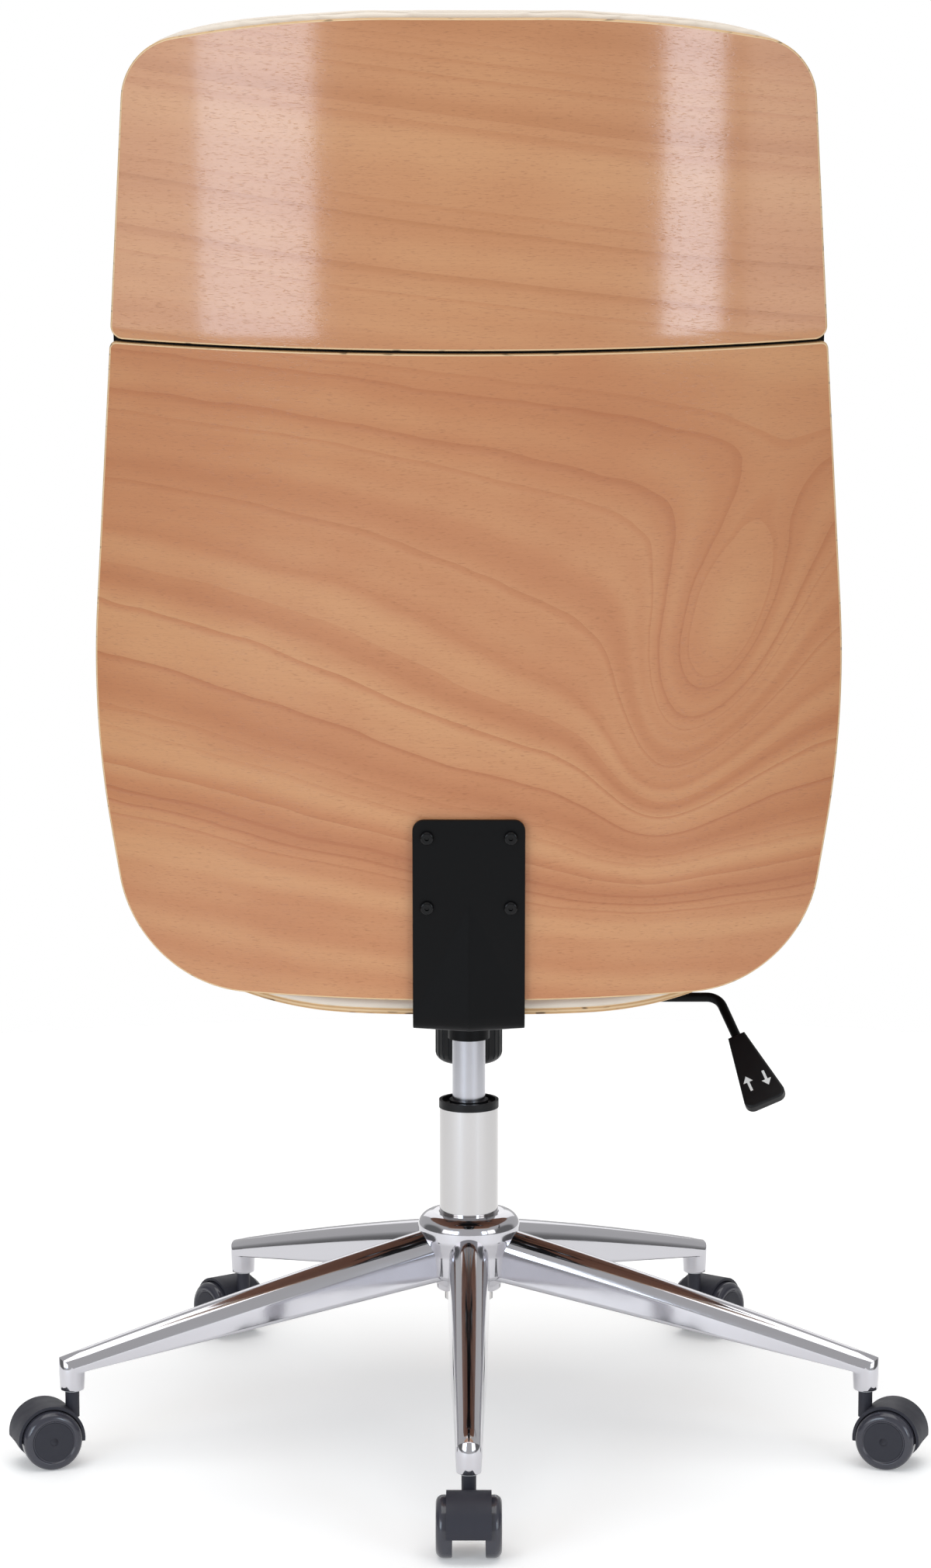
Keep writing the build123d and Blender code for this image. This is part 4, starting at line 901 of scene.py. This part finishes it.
# the faces of the sunk disc, which take the second finish
on_disc = np.linalg.norm(wheel_points[:, :2], axis=1) < disc_radius
on_disc &= wheel_points[:, 2] > wheel_outer - disc_depth
sunk = [int(all(on_disc[face])) for face in wheel_faces]
for i, turn in enumerate(leg_turns, 1):
    outward = np.array((math.cos(turn), math.sin(turn), 0))
    across = np.array((-math.sin(turn), math.cos(turn), 0))
    axle = outward * axle_reach + (0, 0, tread_radius)
    for side in ("left", "right"):
        node = f"caster_{i}_wheel_{side}"
        low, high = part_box(node)
        facing = across * np.sign((np.array(low + high) / 2 / MM - axle) @ across)
        axes = np.array((outward, np.cross(facing, outward), facing))
        points = wheel_points @ axes + axle
        name = f"caster_{i}_tread_{side}"
        body = f"caster_{i}_{side}"
        wheel = mesh_piece(name, points, wheel_faces, wheel_finishes, body, "caster_wheel_nylon")
        wheel.data.polygons.foreach_set("material_index", sunk)
        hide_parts(node)

# Tilt spring: coiled wire between its cup and the seat plate
spring_low, spring_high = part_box("tilt_spring")
wire = 5.0
wire_spin = np.linspace(0, 2 * math.pi, 14, endpoint=False)
coil_turns = 5
coil_radius = 15.0
coil_middle = ((spring_low + spring_high) / 2 / MM)[:2]
coil_foot = spring_low[2] / MM + wire / 2
coil_height = (spring_high[2] - spring_low[2]) / MM - wire
coil_loops = []
for share in np.linspace(0, 1, 48 * coil_turns + 1):
    angle = 2 * math.pi * coil_turns * share
    out = np.array((math.cos(angle), math.sin(angle), 0))
    middle = np.array((*coil_middle, coil_foot + share * coil_height)) + coil_radius * out
    section = np.outer(np.cos(wire_spin), out) + np.outer(np.sin(wire_spin), (0, 0, 1))
    coil_loops.append(middle + wire / 2 * section)
coil = mesh_piece("coiled_tilt_spring", *skin(coil_loops, False), (satin_steel,), "mechanism", "satin_steel")
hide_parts("tilt_spring")
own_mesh(coil)

# Lever paddle: two plain arrows printed on its rear face
lever_bend = (-212.0, 0, 375.5)
paddle_start = 44.0
paddle_facing = (0, 0.978, 0.208)
heading = np.array((-0.33, 0.69, -0.645))
heading /= np.linalg.norm(heading)
paddle_across = np.cross(heading, paddle_facing)
paddle_across /= np.linalg.norm(paddle_across)
paddle_out = np.cross(paddle_across, heading)
arrow = np.array(((-1.1, -7), (1.1, -7), (1.1, 2), (4.2, 2), (0, 8), (-4.2, 2), (-1.1, 2)))
arrow_reach = 50.0
arrow_spacing = 15.0
arrow_middle = lever_bend + heading * (paddle_start + arrow_reach)
# the ink starts just inside the paddle's face and stands about a tenth of a millimetre proud of it
print_heights = (4.95, 5.12)
arrow_points = []
arrow_faces = []
for side in (-1, 1):
    across = arrow[:, 0] + side * arrow_spacing / 2
    flat = arrow_middle + np.outer(-side * arrow[:, 1], heading) + np.outer(across, paddle_across)
    points, faces = skin([flat + paddle_out * height for height in print_heights], False)
    arrow_faces += [[len(arrow_points) + k for k in face] for face in faces]
    arrow_points += points.tolist()
arrows = mesh_piece("paddle_arrows", arrow_points, arrow_faces, (white_ink,), "lever", "nylon")
arrows.data.shade_flat()


# Finishes of the solids that stay as they are
finishes = {
    "polished_aluminium": aluminium,
    "chromed_steel": chrome,
    "satin_steel": satin_steel,
    "zinc_steel": zinc,
    "black_steel": powder_black,
    "black_plastic": black_plastic,
    "nylon": bearing_nylon,
    "caster_hood_nylon": hood_plastic,
    "caster_wheel_nylon": wheel_plastic,
    "beech_ply": seat_veneer,
    "cream_leatherette": cream,
}
for part in frame["record"]["subparts"]:
    solid = nodes[part["node"]]
    solid.data.materials.clear()
    solid.data.materials.append(finishes[part["material_slot"]])
nodes["bracket_screws"].data.materials[0] = black_screw


# Studio: two tall soft boxes beside the camera, weaker ones further round, a soft light overhead and a fill
# from the front
def soft_box(name, place, aim, size, power, colour="#ffffff"):
    """A rectangular light that the camera doesn't see."""
    light = bpy.data.lights.new(name, "AREA")
    light.shape = "RECTANGLE"
    light.size, light.size_y = size
    light.energy = power
    light.color = linear(colour)[:3]
    lamp = bpy.data.objects.new(name, light)
    lamp.location = place
    lamp.rotation_euler = (Vector(aim) - Vector(place)).to_track_quat("-Z", "Y").to_euler()
    lamp.visible_camera = False
    bpy.context.scene.collection.objects.link(lamp)


soft_box("soft_box_left", (1.66, 2.50, 0.88), (0, 0.25, 0.88), (1.0, 1.24), 25, "#deeeff")
soft_box("soft_box_right", (-1.82, 2.57, 0.88), (0, 0.25, 0.88), (0.52, 1.24), 16, "#deeeff")
soft_box("side_left", (2.52, 1.90, 1.0), (0, 0.25, 0.95), (1.0, 1.5), 8)
soft_box("side_right", (-2.52, 1.90, 1.0), (0, 0.25, 0.95), (1.0, 1.5), 8)
soft_box("overhead", (0, 0.4, 3.4), (0, 0, 0.4), (3.0, 3.0), 55)
soft_box("front_fill", (0, -3.2, 1.8), (0, 0, 0.7), (3.0, 2.0), 14)

# White surroundings that turn grey far to the sides, for darker edges on the metal, and a white backdrop
world = bpy.data.worlds.new("studio")
bpy.context.scene.world = world
world.use_nodes = True
sky = world.node_tree
walls = sky.nodes["Background"]
walls.inputs["Strength"].default_value = 0.56
way = add(sky, "TexCoord", {}).outputs["Generated"]
sideways = add(sky, "SeparateXYZ", {0: way}).outputs["X"]
sideways = add(sky, "Math", {0: sideways}, operation="ABSOLUTE").outputs[0]
wall_tone = ramp(sky, sideways, ((0.80, "#ffffff"), (0.90, "#9a9a9a"), (0.99, "#9a9a9a")))
sky.links.new(wall_tone, walls.inputs["Color"])
backdrop = add(sky, "Background", {"Color": linear("#ffffff"), "Strength": 1.0})
seen_directly = add(sky, "LightPath", {}).outputs["Is Camera Ray"]
both = add(sky, "MixShader", {0: seen_directly, 1: walls.outputs[0], 2: backdrop.outputs[0]})
sky.links.new(both.outputs[0], sky.nodes["World Output"].inputs["Surface"])

# Floor: a matt white disc bright enough to run into the white behind it
floor_build = bmesh.new()
bmesh.ops.create_circle(floor_build, cap_ends=True, segments=96, radius=1.7)
floor_mesh = bpy.data.meshes.new("studio_floor")
floor_build.to_mesh(floor_mesh)
floor_build.free()
floor_paint = plain(
    "painted_floor", "#f4f4f3", 0.0, 0.7, 0.05, 300, 5, 0.0,
    Emission_Color=linear("#ffffff"), Emission_Strength=0.24
)
floor_mesh.materials.append(floor_paint)
studio_floor = bpy.data.objects.new("studio_floor", floor_mesh)
bpy.context.scene.collection.objects.link(studio_floor)

# Camera behind the chair, a little above its head, looking slightly down
frame_height = 2021
camera_pitch = 9.352
lens = bpy.data.cameras.new("camera")
lens.sensor_fit = "VERTICAL"
lens.sensor_height = 36.0
lens.lens = 122.13
lens.shift_x = -4.3 / frame_height
lens.clip_end = 200
camera = bpy.data.objects.new("camera", lens)
camera.location = (0, 4.431, 1.2888)
camera.rotation_euler = (math.radians(90 - camera_pitch), 0, math.pi)
bpy.context.scene.collection.objects.link(camera)
bpy.context.scene.camera = camera
bpy.context.scene.view_settings.view_transform = "Standard"
